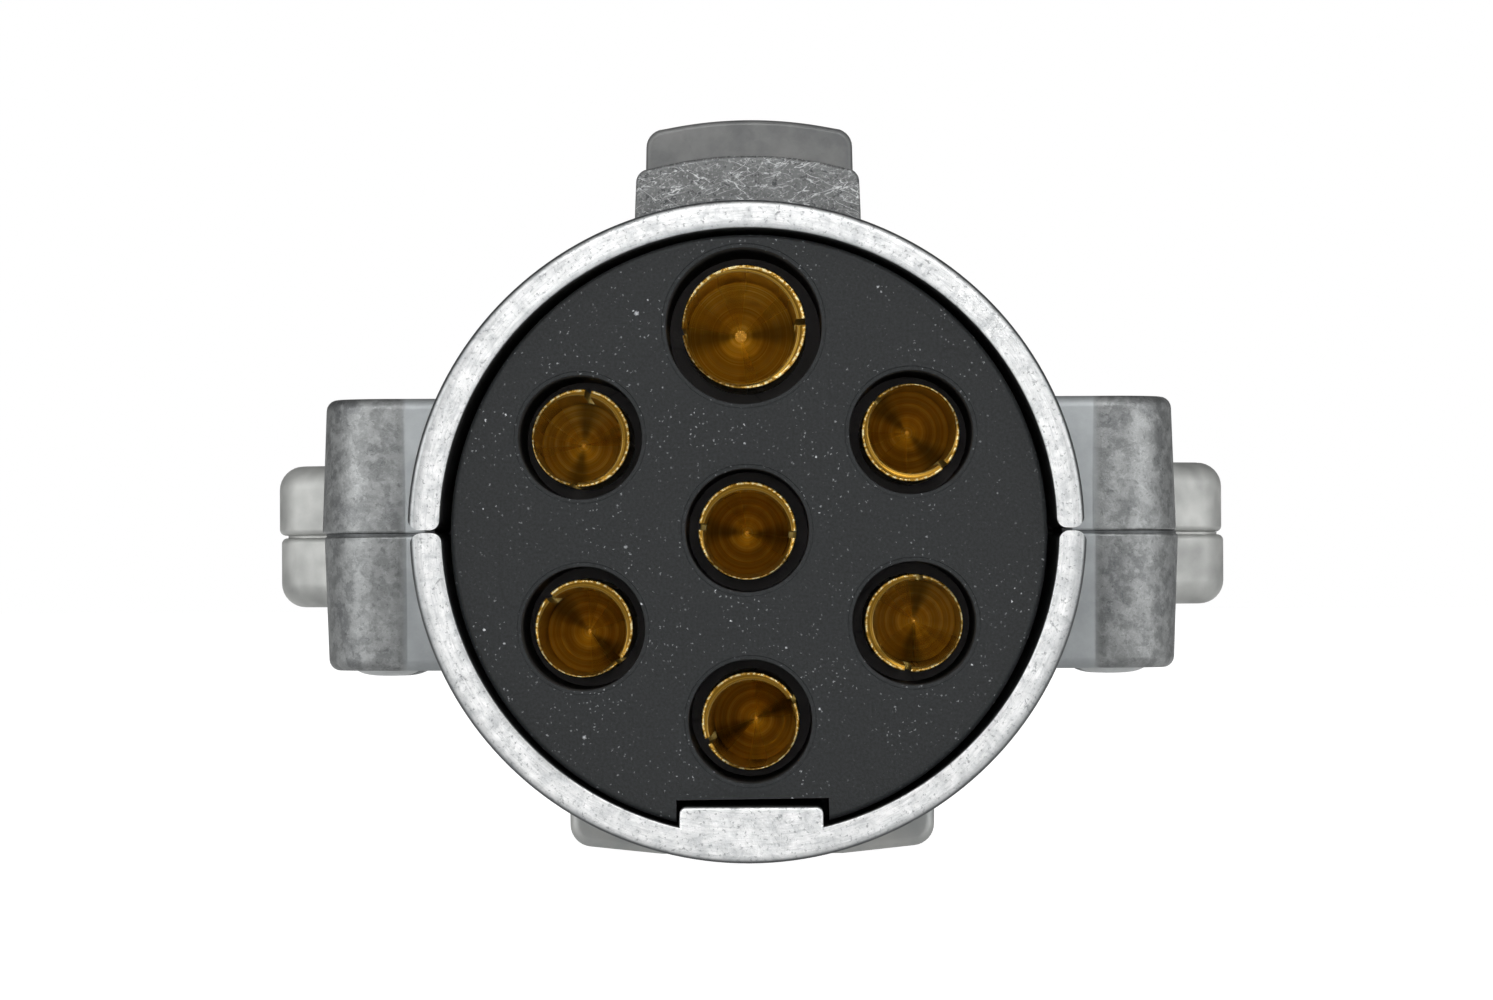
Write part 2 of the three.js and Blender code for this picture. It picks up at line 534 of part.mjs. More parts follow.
// The carrier and all that it holds are turned together by the play in the keyway.
const core = new THREE.Group();
core.rotation.y = -CARRIER_TURN;
plug.add(core);
piece("contact_carrier", contactCarrier(), "nylon", core);
piece("terminal_retainer", terminalRetainer(), "nylon", core);
for (const [side, word] of [[-1, "left"], [1, "right"]]) {
  const screw = panScrew(RETAINER_SCREW, RETAINER_REACH + RETAINER.thick);
  piece(`retainer_screw_${word}`, screw, "steel", core)
    .position.set(side * RETAINER_SCREW_X, RETAINER_END + SEAT, 0);
}
for (const { name, size, x, z, at, slotAt } of CONTACTS) {
  piece(`${name}_socket`, contactSolid(size, at, slotAt), "brass", core).position.set(x, 0, z);
  piece(`${name}_set_screw`, setScrewSolid(size, at), "steel", core).position.set(x, 0, z);
}

// A screw with its lock washer. Its head faces up for 1 and down for -1.
function fasten(name, x, y, bearing, faces, length) {
  const washer = piece(`${name}_washer`, lockWasher(), "steel");
  const screw = piece(`${name}_screw`, panScrew(SCREW, length), "steel");
  for (const mesh of [washer, screw]) mesh.rotation.x = faces * Math.PI / 2;
  washer.position.set(x, y, bearing);
  screw.position.set(x, y, bearing + faces * (WASHER.thick + SEAT));
}

for (const [side, word] of [[-1, "left"], [1, "right"]]) {
  for (const [ear, where] of [[FRONT_EAR, "front"], [REAR_EAR, "rear"]]) {
    const bearing = headSeat(ear.height);
    const length = ear.height - EAR_ROOF - 0.5 - bearing + WASHER.thick + SEAT;
    fasten(`${where}_${word}`, side * ear.x, ear.y, bearing, -1, length);
  }
  const top = CLAMP_REST + CLAMP.lugThick + SEAT;
  fasten(`clamp_${word}`, side * CLAMP.x, CLAMP.y, top, 1, top + WASHER.thick + CLAMP_SCREW_REACH);
}

plug.position.set(0, -TAIL_END / 2, PAD_DEPTH);
const trailerPlug = new THREE.Group();
trailerPlug.add(plug);

export default trailerPlug;
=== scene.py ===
"""Seven-way truck-to-trailer wiring plug: a split die-cast housing round a carrier of brass sockets.

Shapes are worked out in the plug's own millimetres: the rim lies at y = 0, the mating axis at
x = z = 0, the cable leaves towards +Y, and the housing parts at z = 0. to_row() carries them
into the row frame.
"""

import math

import bmesh
import bpy
import numpy as np
from mathutils import Matrix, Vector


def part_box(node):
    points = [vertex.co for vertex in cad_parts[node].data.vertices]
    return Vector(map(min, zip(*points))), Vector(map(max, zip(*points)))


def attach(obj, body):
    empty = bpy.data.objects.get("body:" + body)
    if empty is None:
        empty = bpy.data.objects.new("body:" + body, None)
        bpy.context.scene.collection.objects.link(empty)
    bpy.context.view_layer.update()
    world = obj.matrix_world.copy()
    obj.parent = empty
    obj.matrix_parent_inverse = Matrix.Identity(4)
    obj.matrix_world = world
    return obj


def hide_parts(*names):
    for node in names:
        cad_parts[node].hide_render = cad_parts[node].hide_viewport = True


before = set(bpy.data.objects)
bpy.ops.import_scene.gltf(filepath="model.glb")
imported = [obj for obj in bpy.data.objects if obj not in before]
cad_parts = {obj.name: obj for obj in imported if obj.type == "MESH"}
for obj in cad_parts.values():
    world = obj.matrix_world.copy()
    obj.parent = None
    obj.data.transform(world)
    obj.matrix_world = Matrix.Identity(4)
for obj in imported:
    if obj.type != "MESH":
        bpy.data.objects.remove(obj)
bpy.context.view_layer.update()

# ------------------------------------------------------------------ sizes in millimetres

PARTING_GAP, PARTING_ROUND, STRIP_TOP = 0.2, 0.2, 0.085
UPPER_LOW = [1000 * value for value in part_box("upper_shell")[0]]
RIM_Y = UPPER_LOW[1]
AXIS_Z = UPPER_LOW[2] - PARTING_GAP / 2

BARREL_R, BORE_R, BARREL_END = 22.2, 20.5, 58.0
RIM_ROUND, MOUTH_ROUND = 0.5, 0.12
NECK_R, NECK_START, NECK_END, CABLE_ROOM_R = 13.0, 76.0, 86.0, 9.2
TAIL_R, TAIL_BORE, TAIL_END = 12.2, 8.2, 108.0
PAD_DEPTH = 23.1
FRONT_EAR = {"x": 25.95, "y": 45.0, "height": 9.8}
REAR_EAR = {"x": 16.4, "y": 80.6, "height": 8.0}
BOSS_R, WEB_HALF, WEB_BLEND, EAR_DRAFT, EAR_ROUND = 5.0, 4.85, 0.5, 0.35, 0.8
CLAMP_X, CLAMP_Y, CLAMP_ARCH_R, CLAMP_REST, LUG_THICK, LUG_R = 13.6, 98.0, 11.4, 0.5, 3.6, 4.4
CARRIER_R, CARRIER_FRONT, CARRIER_END, CARRIER_TURN = 19.83, 0.8, 28.0, math.radians(0.7)
CARRIER_SET = (0.12, -0.17)  # where the disc has settled in the bore
SCREW_SHANK, SCREW_HEAD_R, SCREW_HEAD = 1.95, 3.1, 2.4
WASHER_R, WASHER_HOLE, WASHER_THICK, SEAT, SCREW_PROUD = 3.2, 2.2, 1.0, 0.25, 0.4
NOSE_END = 39.5  # where the plain barrel meets the front ears
HALF_SHIFT = 0.07  # how far each half of the housing sits off the middle, the upper to the left
# The barrel is a little wider than round, and the halves are ground at the parting, so each is lower than
# half a circle: the share left of the outside's height and of the bore's. The bore is cored to the right.
WIDE_SHARE, UPPER_SHARE, LOWER_SHARE, BORE_SHIFT = 1.0125, (0.989, 0.980), (0.996, 0.988), 0.14
SEAT_FRONT, CROWN_SHIFT, RIB_MIDDLE, KEYWAY_MIDDLE = 22.0, 0.19, 0.13, 0.29
RIB_HALF, RIB_REACH = 4.775, 18.35  # the key rib's half width, and how near it comes to the axis
FAR = 200  # past everything
SHARP_EDGE = math.radians(32)  # edges that turn by more than this keep a crisp shade

# Each contact: name, sizes, pitch radius, angle, slot angle, and how far the bore sits off the tube's
# middle (x, z) at the drill's shoulder and at the mouth.
PITCH_R, GROUND_R = 12.7, 13.6
SMALL = {"tube": 3.28, "bore": 2.85, "body": 3.75, "flange": 4.7, "cavity": 4.12, "wire": 2.2, "screw": 1.95,
         "teat": 0.14}
LARGE = {"tube": 4.15, "bore": 3.68, "body": 4.45, "flange": 5.2, "cavity": 5.2, "wire": 2.8, "screw": 2.35,
         "teat": 0.42}
CONTACTS = [
    ("ground", LARGE, GROUND_R, 90, 0.07, (-0.30, -0.08), (-0.20, -0.10)),
    ("upper_right", SMALL, PITCH_R, 30, -0.79, (0.05, 0.30), (0.10, 0.20)),
    ("lower_right", SMALL, PITCH_R, -30, 1.43, (0.30, 0.02), (0.21, 0.0)),
    ("bottom", SMALL, PITCH_R, -90, 0.43, (0.28, -0.18), (0.10, -0.20)),
    ("lower_left", SMALL, PITCH_R, 210, 2.39, (-0.07, -0.32), (-0.10, -0.20)),
    ("upper_left", SMALL, PITCH_R, 150, 1.4, (-0.28, -0.20), (-0.20, -0.08)),
    ("centre", SMALL, 0.0, 0, -0.1, (-0.08, -0.08), (0.0, -0.22)),
]


def on_carrier(radius, degrees):
    """A place in the carrier's face: polar, then turned with the carrier by the play in its keyway."""
    angle = math.radians(degrees) + CARRIER_TURN
    return radius * math.cos(angle), radius * math.sin(angle)


# ------------------------------------------------------------------ outlines

def rounded(corners, radii, steps=6):
    """A closed polygon whose corners are arcs: each of radius r starts r tan(turn / 2) before its corner."""
    corners = np.asarray(corners, float)
    radii = np.broadcast_to(radii, len(corners))
    points = []
    for before, corner, after, r in zip(np.roll(corners, 1, 0), corners, np.roll(corners, -1, 0), radii):
        into = (corner - before) / np.linalg.norm(corner - before)
        out = (after - corner) / np.linalg.norm(after - corner)
        turn = math.atan2(into[0] * out[1] - into[1] * out[0], into @ out)
        if r == 0 or abs(turn) < 1e-6:
            points.append(corner[None])
            continue
        start = corner - into * r * math.tan(abs(turn) / 2)
        inward = math.copysign(1, turn) * np.array([-into[1], into[0]])
        a = np.linspace(0, turn, steps + 1)
        arm = -inward * r
        points.append(start + inward * r + np.stack(
            [arm[0] * np.cos(a) - arm[1] * np.sin(a), arm[0] * np.sin(a) + arm[1] * np.cos(a)], 1))
    return np.concatenate(points)


def arc(r, start, end, steps, centre=(0, 0)):
    """Points on a circle from one angle to another, in degrees."""
    a = np.radians(np.linspace(start, end, steps + 1))
    return np.stack([centre[0] + r * np.cos(a), centre[1] + r * np.sin(a)], 1)


def inset(outline, depth):
    """A counter-clockwise outline moved inwards: each point goes along the mean of its two edges' normals,
    by the depth over the cosine of half the turn."""
    edge = np.roll(outline, -1, 0) - outline
    normal = np.stack([-edge[:, 1], edge[:, 0]], 1) / np.linalg.norm(edge, axis=1)[:, None]
    mean = normal + np.roll(normal, 1, 0)
    return outline + depth * 2 * mean / (mean ** 2).sum(1)[:, None]


def mirrored(right):
    """The right half of an outline, from below to above, with its reflection in x = 0."""
    right = np.asarray(right, float)
    return np.concatenate([right, (right * [-1, 1])[::-1]])


# ------------------------------------------------------------------ solids, as scratch objects

def scratch(vertices, faces):
    """A closed mesh as a temporary object, its faces turned outwards."""
    mesh = bpy.data.meshes.new("scratch")
    mesh.from_pydata(np.asarray(vertices).tolist(), [], faces)
    bm = bmesh.new()
    bm.from_mesh(mesh)
    bmesh.ops.recalc_face_normals(bm, faces=bm.faces)
    bm.to_mesh(mesh)
    bm.free()
    made = bpy.data.objects.new("scratch", mesh)
    bpy.context.scene.collection.objects.link(made)
    return made


def stacked(rings, closed=False):
    """A solid from rings of equal count, (m, n, 3): each is joined to the next, and either the ends are
    capped or the last ring joins the first."""
    m, n = rings.shape[:2]
    index = np.arange(m * n).reshape(m, n)
    if closed:
        index = np.concatenate([index, index[:1]])
    around = np.roll(index, -1, 1)
    quads = np.stack([index[:-1], around[:-1], around[1:], index[1:]], -1).reshape(-1, 4).tolist()
    caps = [] if closed else [index[0][::-1].tolist(), index[-1].tolist()]
    return scratch(rings.reshape(-1, 3), quads + caps)


def turned(profile, sides=96, centre=(0, 0), closed=False, axis="y"):
    """A profile of (radius, station) turned about Y or Z: x = r cos a, and the other two are r sin a and
    the station."""
    r, station = np.asarray(profile, float).T
    a = np.arange(sides) * 2 * np.pi / sides
    across = centre[0] + r[:, None] * np.cos(a)
    up = centre[1] + r[:, None] * np.sin(a)
    along = np.broadcast_to(station[:, None], across.shape)
    order = (across, along, up) if axis == "y" else (across, up, along)
    return stacked(np.stack(order, -1), closed)


def rod(r, start, end, centre=(0, 0), sides=48, axis="y"):
    """A round bar: the radius stays the same from start to end."""
    return turned([(r, start), (r, end)], sides, centre, axis=axis)


def carried(outline, levels, axis):
    """An outline carried along an axis through (level, inset) pairs."""
    rings = []
    for level, depth in levels:
        u, v = inset(outline, depth).T
        w = np.full(len(u), level)
        rings.append(np.stack({"x": (w, u, v), "y": (u, w, v), "z": (u, v, w)}[axis], 1))
    return stacked(np.array(rings))


def rims(low, high, round_low, round_high, steps=5):
    """(level, inset) pairs of a block with quarter-round rims: the inset is r (1 - cos a) where the
    level is r (1 - sin a) from the end."""
    a = np.linspace(np.pi / 2, 0, steps + 1)
    pairs = []
    if round_low:
        pairs += [(low + round_low * (1 - math.sin(t)), round_low * (1 - math.cos(t))) for t in a]
    else:
        pairs.append((low, 0.0))
    if round_high:
        pairs += [(high - round_high * (1 - math.sin(t)), round_high * (1 - math.cos(t))) for t in a[::-1]]
    else:
        pairs.append((high, 0.0))
    return pairs


def box(x0, x1, y0, y1, z0, z1):
    """A block: its plan's four corners carried straight up."""
    return carried(np.array([(x0, y0), (x1, y0), (x1, y1), (x0, y1)], float), [(z0, 0), (z1, 0)], "z")


def combine(operation, base, *tools):
    """The base joined with, cut by or kept within each tool in turn. The tools are used up."""
    for tool in tools:
        step = base.modifiers.new("step", "BOOLEAN")
        step.object, step.operation, step.solver = tool, operation, "MANIFOLD"
    graph = bpy.context.evaluated_depsgraph_get()
    made = bpy.data.meshes.new_from_object(base.evaluated_get(graph))
    base.modifiers.clear()
    base.data = made
    for tool in tools:
        bpy.data.objects.remove(tool)
    return base


def join(*parts):
    """All the solids as one."""
    return combine("UNION", *parts)


def cut(*parts):
    """The first solid less the others."""
    return combine("DIFFERENCE", *parts)


def keep(*parts):
    """What lies in every one of the solids."""
    return combine("INTERSECT", *parts)


def moved(solid, x=0.0, y=0.0, z=0.0, turn=0.0, about="Y"):
    """A scratch solid turned about its own origin and then shifted."""
    solid.data.transform(Matrix.Translation((x, y, z)) @ Matrix.Rotation(turn, 4, about))
    return solid


def squeezed(solid, share, shift=0.0, wide=1.0):
    """A scratch solid whose height and width are scaled, then shifted to the right."""
    solid.data.transform(Matrix.Translation((shift, 0, 0)) @ Matrix.Diagonal((wide, 1, share, 1)))
    return solid


def soften(solid, chosen, width, segments=3):
    """Rounds the edges for which chosen(edge) holds."""
    bm = bmesh.new()
    bm.from_mesh(solid.data)
    bmesh.ops.remove_doubles(bm, verts=bm.verts, dist=1e-4)
    bmesh.ops.dissolve_degenerate(bm, edges=bm.edges, dist=1e-4)
    bmesh.ops.bevel(bm, geom=[e for e in bm.edges if chosen(e)], offset=width, offset_type="OFFSET",
                    segments=segments, profile=0.5, affect="EDGES", clamp_overlap=False)
    bm.to_mesh(solid.data)
    bm.free()
    return solid


# ------------------------------------------------------------------ materials

def linear(code):
    """An sRGB hex colour as linear red, green, blue and alpha."""
    parts = [int(code[i:i + 2], 16) / 255 for i in (1, 3, 5)]
    return [c / 12.92 if c <= 0.04045 else ((c + 0.055) / 1.055) ** 2.4 for c in parts] + [1.0]


def material(name):
    """An empty node material with its Principled shader."""
    made = bpy.data.materials.new(name)
    made.use_nodes = True
    return made, made.node_tree, made.node_tree.nodes["Principled BSDF"]


def feed(tree, node, inputs):
    """Gives a node's inputs their values, colours or links: by name, or in the order of the inputs in use.
    A node stands for its first output in use."""
    if isinstance(inputs, dict):
        pairs = [(node.inputs[name], value) for name, value in inputs.items()]
    else:
        pairs = zip([held for held in node.inputs if held.enabled], inputs)
    for held, value in pairs:
        if isinstance(value, bpy.types.Node):
            value = next(given for given in value.outputs if given.enabled)
        if isinstance(value, bpy.types.NodeSocket):
            tree.links.new(value, held)
        else:
            held.default_value = linear(value) if isinstance(value, str) else value


def add(tree, kind, inputs=(), stops=(), **settings):
    """Adds a node: settings are its properties, inputs are as in feed(), and stops the places and the
    colours or levels of a ramp. A noise takes its place, scale, detail, roughness, lacunarity and
    distortion in that order."""
    made = tree.nodes.new("ShaderNode" + kind)
    for key, value in settings.items():
        setattr(made, key, value)
    while stops and len(made.color_ramp.elements) < len(stops):
        made.color_ramp.elements.new(0.5)
    for i, (place, colour) in enumerate(stops):
        made.color_ramp.elements[i].position = place
        made.color_ramp.elements[i].color = linear(colour) if isinstance(colour, str) else (colour,) * 3 + (1,)
    feed(tree, made, inputs)
    return made


def per_mm(size):
    """A texture's scale for a feature of that size in millimetres."""
    return 1000 / size


def overlap(tree, first, *masks):
    """1 where every mask is 1: their product."""
    for mask in masks:
        first = add(tree, "Math", [first, mask], operation="MULTIPLY")
    return first


def either(tree, first, *masks):
    """1 where any mask is 1: the greatest of them."""
    for mask in masks:
        first = add(tree, "Math", [first, mask], operation="MAXIMUM")
    return first


def zone(tree, *bounds):
    """A mask for a region: the product of straight rises along a value, each from 0 at its first bound to
    1 at its second, in millimetres."""
    return overlap(tree, *[add(tree, "MapRange", [value, start / 1000, end / 1000])
                           for value, start, end in bounds])


def patches(tree, place, size, stops, detail=3.0, roughness=0.55, distortion=0.0):
    """Levels or colours by a noise whose largest features are about size millimetres across."""
    spread = add(tree, "TexNoise", [place, per_mm(size), detail, roughness, 2.0, distortion])
    return add(tree, "ValToRGB", [spread], stops)


def veins(tree, place, size, width, detail=2.0, distortion=0.0):
    """Thin lines where a noise crosses its middle value: 1 on the line, 0 once the noise is width away."""
    spread = add(tree, "TexNoise", [place, per_mm(size), detail, 0.5, 2.0, distortion])
    away = add(tree, "Math", [spread, 0.5], operation="SUBTRACT")
    away = add(tree, "Math", [away], operation="ABSOLUTE")
    return add(tree, "ValToRGB", [away], [(0.0, 1.0), (width, 0.0)])


def laid(tree, under, over, *masks):
    """One colour laid over another, by as much as the product of the masks."""
    return add(tree, "Mix", [overlap(tree, *masks), under, over], data_type="RGBA")


def relief(tree, *layers):
    """The normal after layers of height, each raised by up to its depth in millimetres."""
    below = {}
    for height, depth in layers:
        raised = add(tree, "Bump", {"Height": height, "Strength": 1.0, "Distance": depth / 1000, **below})
        below = {"Normal": raised}
    return raised


# A fine grain is drawn 0.2 mm across, coarser than the real one, so that it shows.

def die_cast_zinc():
    """Zinc die casting, tumbled and handled: dull mid grey clouded with lighter oxide, a scratched and pitted
    key on top, smooth rear parts, and a rim worn bright by the receptacle. Painted light in the colour: painted
    shade on the rim's rounds, behind the rim and along the parting, and painted lighter greys on the wings, pad
    and ears' webs."""
    made, tree, shader = material("die_cast_zinc_tumbled")
    place = add(tree, "TexCoord").outputs["Object"]
    own = add(tree, "Mapping", {"Vector": place, "Location": (0, -RIM_Y / 1000, -AXIS_Z / 1000)})
    x, y, z = add(tree, "SeparateXYZ", [own]).outputs
    across = add(tree, "Math", [x], operation="ABSOLUTE")
    off_parting = add(tree, "Math", [z], operation="ABSOLUTE")
    radius = add(tree, "VectorMath", [add(tree, "CombineXYZ", [x, 0.0, z])], operation="LENGTH")
    angle = add(tree, "Math", [z, x], operation="ARCTAN2")

    rim = zone(tree, (y, 0.2, 0.05))
    rear = zone(tree, (y, 47.0, 56.0))
    wing = overlap(tree, rear, zone(tree, (across, 22.0, 27.0)))
    lug = zone(tree, (y, 29.6, 29.9), (y, 33.0, 30.4), (z, 22.2, 22.6))
    key = zone(tree, (y, 29.9, 29.6), (z, 20.4, 21.2))
    key_front = overlap(tree, key, zone(tree, (y, 6.5, 4.3)))
    pad = zone(tree, (z, -15.0, -18.0), (y, 40.0, 41.5), (y, 48.0, 43.0))
    web = zone(tree, (y, 39.3, 39.6), (y, 49.0, 46.0), (across, 25.3, 24.7), (radius, 22.6, 22.9),
               (z, -14.0, -12.0))
    shade_at_parting = zone(tree, (off_parting, 0.13, 0.09), (y, 39.0, 39.4), (y, 52.0, 51.0))
    shade_behind_rim = zone(tree, (y, 0.06, 0.14), (y, 0.8, 0.45))
    outer_edge_shade = zone(tree, (radius, 21.6, 22.2))
    inner_edge_shade = zone(tree, (radius, 20.65, 20.25), (z, -17.0, -16.0))
    smooth = either(tree, rear, lug, pad, web)

    # As cast: clouds of oxide, pale blotches that are fainter on the key and the barrel, and on the key
    # short strokes lying four ways.
    mottle = add(tree, "TexNoise", [own, per_mm(2.6), 3.0, 0.5])
    fine = add(tree, "TexNoise", [own, per_mm(0.9), 4.0, 0.6, 2.0, 0.1])
    grain = add(tree, "TexNoise", [own, per_mm(0.2), 2.0, 0.6])
    body = add(tree, "ValToRGB", [mottle], [(0.34, "#737576"), (0.5, "#7d7f7f"), (0.66, "#888a8a")])
    body = laid(tree, body, "#6c6d6d", key_front, 0.85)
    off_key = add(tree, "Math", [key, -0.65, 1.0], operation="MULTIPLY_ADD")
    off_barrel = add(tree, "Math", [zone(tree, (across, 23.5, 22.0)), -0.4, 1.0], operation="MULTIPLY_ADD")
    blotches = add(tree, "ValToRGB", [fine], [(0.48, 0.0), (0.62, 0.42)])
    body = laid(tree, body, "#a9abab", blotches, off_key, off_barrel)
    blotches = patches(tree, own, 1.3, [(0.5, 0.0), (0.55, 0.3)], 5.0, 0.6, 0.15)
    body = laid(tree, body, "#acaeae", blotches, off_key, off_barrel)
    cloudy = add(tree, "ValToRGB", [mottle], [(0.42, 0.0), (0.6, 0.14)])
    body = laid(tree, body, "#c3c6c7", veins(tree, own, 2.2, 0.02, 2.0, 0.2), cloudy)
    on_key = add(tree, "Math", [key, 0.65, 0.1], operation="MULTIPLY_ADD")
    for seed, size, turn in ((0.0, 0.7, 0.45), (0.031, 0.5, -0.5), (0.057, 0.9, 0.1), (0.083, 0.6, -0.3)):
        drawn_out = add(tree, "Mapping", {"Vector": own, "Location": (seed, seed, seed),
                        "Rotation": (0.0, turn, 0.0), "Scale": (3.2, 1.0, 0.8)}, vector_type="TEXTURE")
        strokes = veins(tree, drawn_out, size, 0.02, 2.0, 0.1)
        kept = patches(tree, drawn_out, 0.9, [(0.5, 0.0), (0.6, 0.9)], 2.0)
        body = laid(tree, body, "#eceeee", strokes, kept, on_key)
    crumbs = add(tree, "ValToRGB", [grain], [(0.54, 0.0), (0.72, 1.0)])
    on_key = add(tree, "Math", [key, 0.35, 0.12], operation="MULTIPLY_ADD")
    body = laid(tree, body, "#d3d5d5", crumbs, on_key)
    pits = patches(tree, own, 0.35, [(0.35, 1.0), (0.42, 0.0)], 3.0, 0.7, 0.6)
    on_key = add(tree, "Math", [key, 0.35, 0.3], operation="MULTIPLY_ADD")
    body = laid(tree, body, "#35383a", pits, on_key)

    # The smooth parts: rear, wings, pad, the ears' webs and the lug, each with its own greys. The wings', pad's
    # and webs' lighter greys are painted light: painted highlights where these faces catch the lamps, blotchy
    # on the wings.
    soft = add(tree, "TexNoise", [own, per_mm(3.6), 2.0, 0.5])
    plain = add(tree, "ValToRGB", [soft], [(0.32, "#969796"), (0.68, "#a9aaa8")])
    # Painted light: the wing, pad and web greys are lighter than the casting's own grey.
    for part, spread, *greys in ((wing, soft, (0.32, "#a5a6a4"), (0.68, "#cfd0cd")),
                                 (pad, soft, (0.3, "#b3b6b6"), (0.7, "#cfcfcc")),
                                 (web, soft, (0.3, "#a5a9ab"), (0.7, "#b6babc")),
                                 (lug, mottle, (0.3, "#6c6d6d"), (0.7, "#7d7d7c"))):
        plain = laid(tree, plain, add(tree, "ValToRGB", [spread], greys), part)
    body = laid(tree, body, plain, smooth, 0.85)
    # Painted shade: a dark band on the round just behind the rim, and on both faces beside the parting gap.
    body = laid(tree, body, "#3c3f41", either(tree, shade_behind_rim, shade_at_parting), 0.7)

    # The rim: nearly white, with fine lines along it, specks and dints; its rounds at both edges are painted
    # darker as shade.
    along = add(tree, "Math", [angle, 0.0022], operation="MULTIPLY")
    inward = add(tree, "Math", [y, 0.2], operation="MULTIPLY")
    lines = add(tree, "TexNoise", [add(tree, "CombineXYZ", [along, radius, inward]), per_mm(0.16), 3.0, 0.7])
    bright = patches(tree, own, 1.2, [(0.32, "#c9cbcc"), (0.48, "#e3e4e4"), (0.68, "#f9f9f9")], 4.0, 0.65, 0.6)
    bright = laid(tree, bright, "#b0b3b5", add(tree, "ValToRGB", [lines], [(0.36, 0.4), (0.52, 0.0)]))
    bright = laid(tree, bright, "#8b8e90", patches(tree, own, 0.3, [(0.34, 0.75), (0.44, 0.0)], 3.0, 0.7))
    bright = laid(tree, bright, "#5d6163", patches(tree, own, 1.1, [(0.28, 0.8), (0.36, 0.0)], 4.0, 0.7, 1.0))
    # Painted shade: the rim's inner and outer rounds darkened where they turn away from the lamps.
    bright = laid(tree, bright, "#85898b", either(tree, inner_edge_shade, outer_edge_shade), 0.6)

    rough = add(tree, "ValToRGB", [fine], [(0.3, 0.42), (0.7, 0.56)])
    rough_cast = add(tree, "Math", [1.0, smooth], operation="SUBTRACT")
    feed(tree, shader, {
        "Base Color": laid(tree, body, bright, rim), "Metallic": 1.0,
        "Roughness": laid(tree, rough, (0.6, 0.6, 0.6, 1), either(tree, smooth, key)),
        "Normal": relief(tree, (mottle, 0.06), (overlap(tree, fine, rough_cast), 0.025),
                         (overlap(tree, grain, rough_cast), 0.015), (overlap(tree, lines, rim), 0.008))})
    return made


def moulded_nylon():
    """Glass-filled nylon, injection moulded: charcoal with an even fine grain, a few pale crumbs of dust
    lying in drifts, hair-thin scratches and a satin face."""
    made, tree, shader = material("glass_filled_nylon")
    place = add(tree, "TexCoord").outputs["Object"]
    cloud = add(tree, "TexNoise", [place, per_mm(4.0), 3.0, 0.55])
    grain = add(tree, "TexNoise", [place, per_mm(0.2), 2.0, 0.7])
    base = linear("#151718")

    def shade(times):
        return [times * c for c in base[:3]] + [1.0]

    colour = laid(tree, shade(0.6), shade(1.55), add(tree, "ValToRGB", [grain], [(0.35, 0.0), (0.65, 1.0)]))
    colour = laid(tree, colour, shade(1.3), cloud, 0.3)

    # Dust: the cells of four sizes, each cell with a crumb by chance, their places bent by a noise so that
    # the crumbs aren't round.
    face = add(tree, "Mapping", {"Vector": place, "Scale": (1, 0.02, 1)})
    bent = add(tree, "TexNoise", [face, per_mm(0.12), 1.0]).outputs["Color"]
    bent = add(tree, "VectorMath", [bent, (0.5, 0.5, 0.5)], operation="SUBTRACT")
    bent = add(tree, "VectorMath", [bent, (0.00025, 0.0, 0.00025), face], operation="MULTIPLY_ADD")
    drifts = patches(tree, face, 5.0, [(0.42, 0.1), (0.6, 1.0)], 2.0)
    for spacing, reach, kept, most in ((2.4, 0.045, 0.55, 1.0), (1.0, 0.055, 0.55, 0.8),
                                       (0.45, 0.09, 0.5, 0.45), (0.26, 0.14, 0.45, 0.35)):
        cells = add(tree, "TexVoronoi", [bent, per_mm(spacing)])
        red, green = add(tree, "SeparateColor", [cells.outputs["Color"]]).outputs[:2]
        near = add(tree, "ValToRGB", [cells.outputs["Distance"]], [(reach * 0.6, 1.0), (reach * 1.6, 0.0)])
        picked = add(tree, "ValToRGB", [red], [(1 - kept, 0.0), (1.01 - kept, 1.0)])
        pale = add(tree, "ValToRGB", [green], [(0.1, 0.15 * most), (1.0, most)])
        colour = laid(tree, colour, "#c2c5c8", near, picked, pale, drifts)

    y = add(tree, "SeparateXYZ", [place]).outputs["Y"]
    front = RIM_Y + CARRIER_FRONT
    # Painted light: deeper than the face, the cavity walls are painted lighter, as if lit.
    colour = laid(tree, colour, "#3a3837", zone(tree, (y, front + 0.5, front + 1.5)))
    cloudy = add(tree, "ValToRGB", [cloud], [(0.45, 0.0), (0.55, 0.5)])
    colour = laid(tree, colour, shade(0.45), veins(tree, face, 11.0, 0.0016, 0.0), cloudy)
    feed(tree, shader, {"Base Color": colour, "IOR": 1.53, "Specular IOR Level": 0.3, "Roughness": 0.62,
                        "Normal": relief(tree, (cloud, 0.04), (grain, 0.02))})
    return made


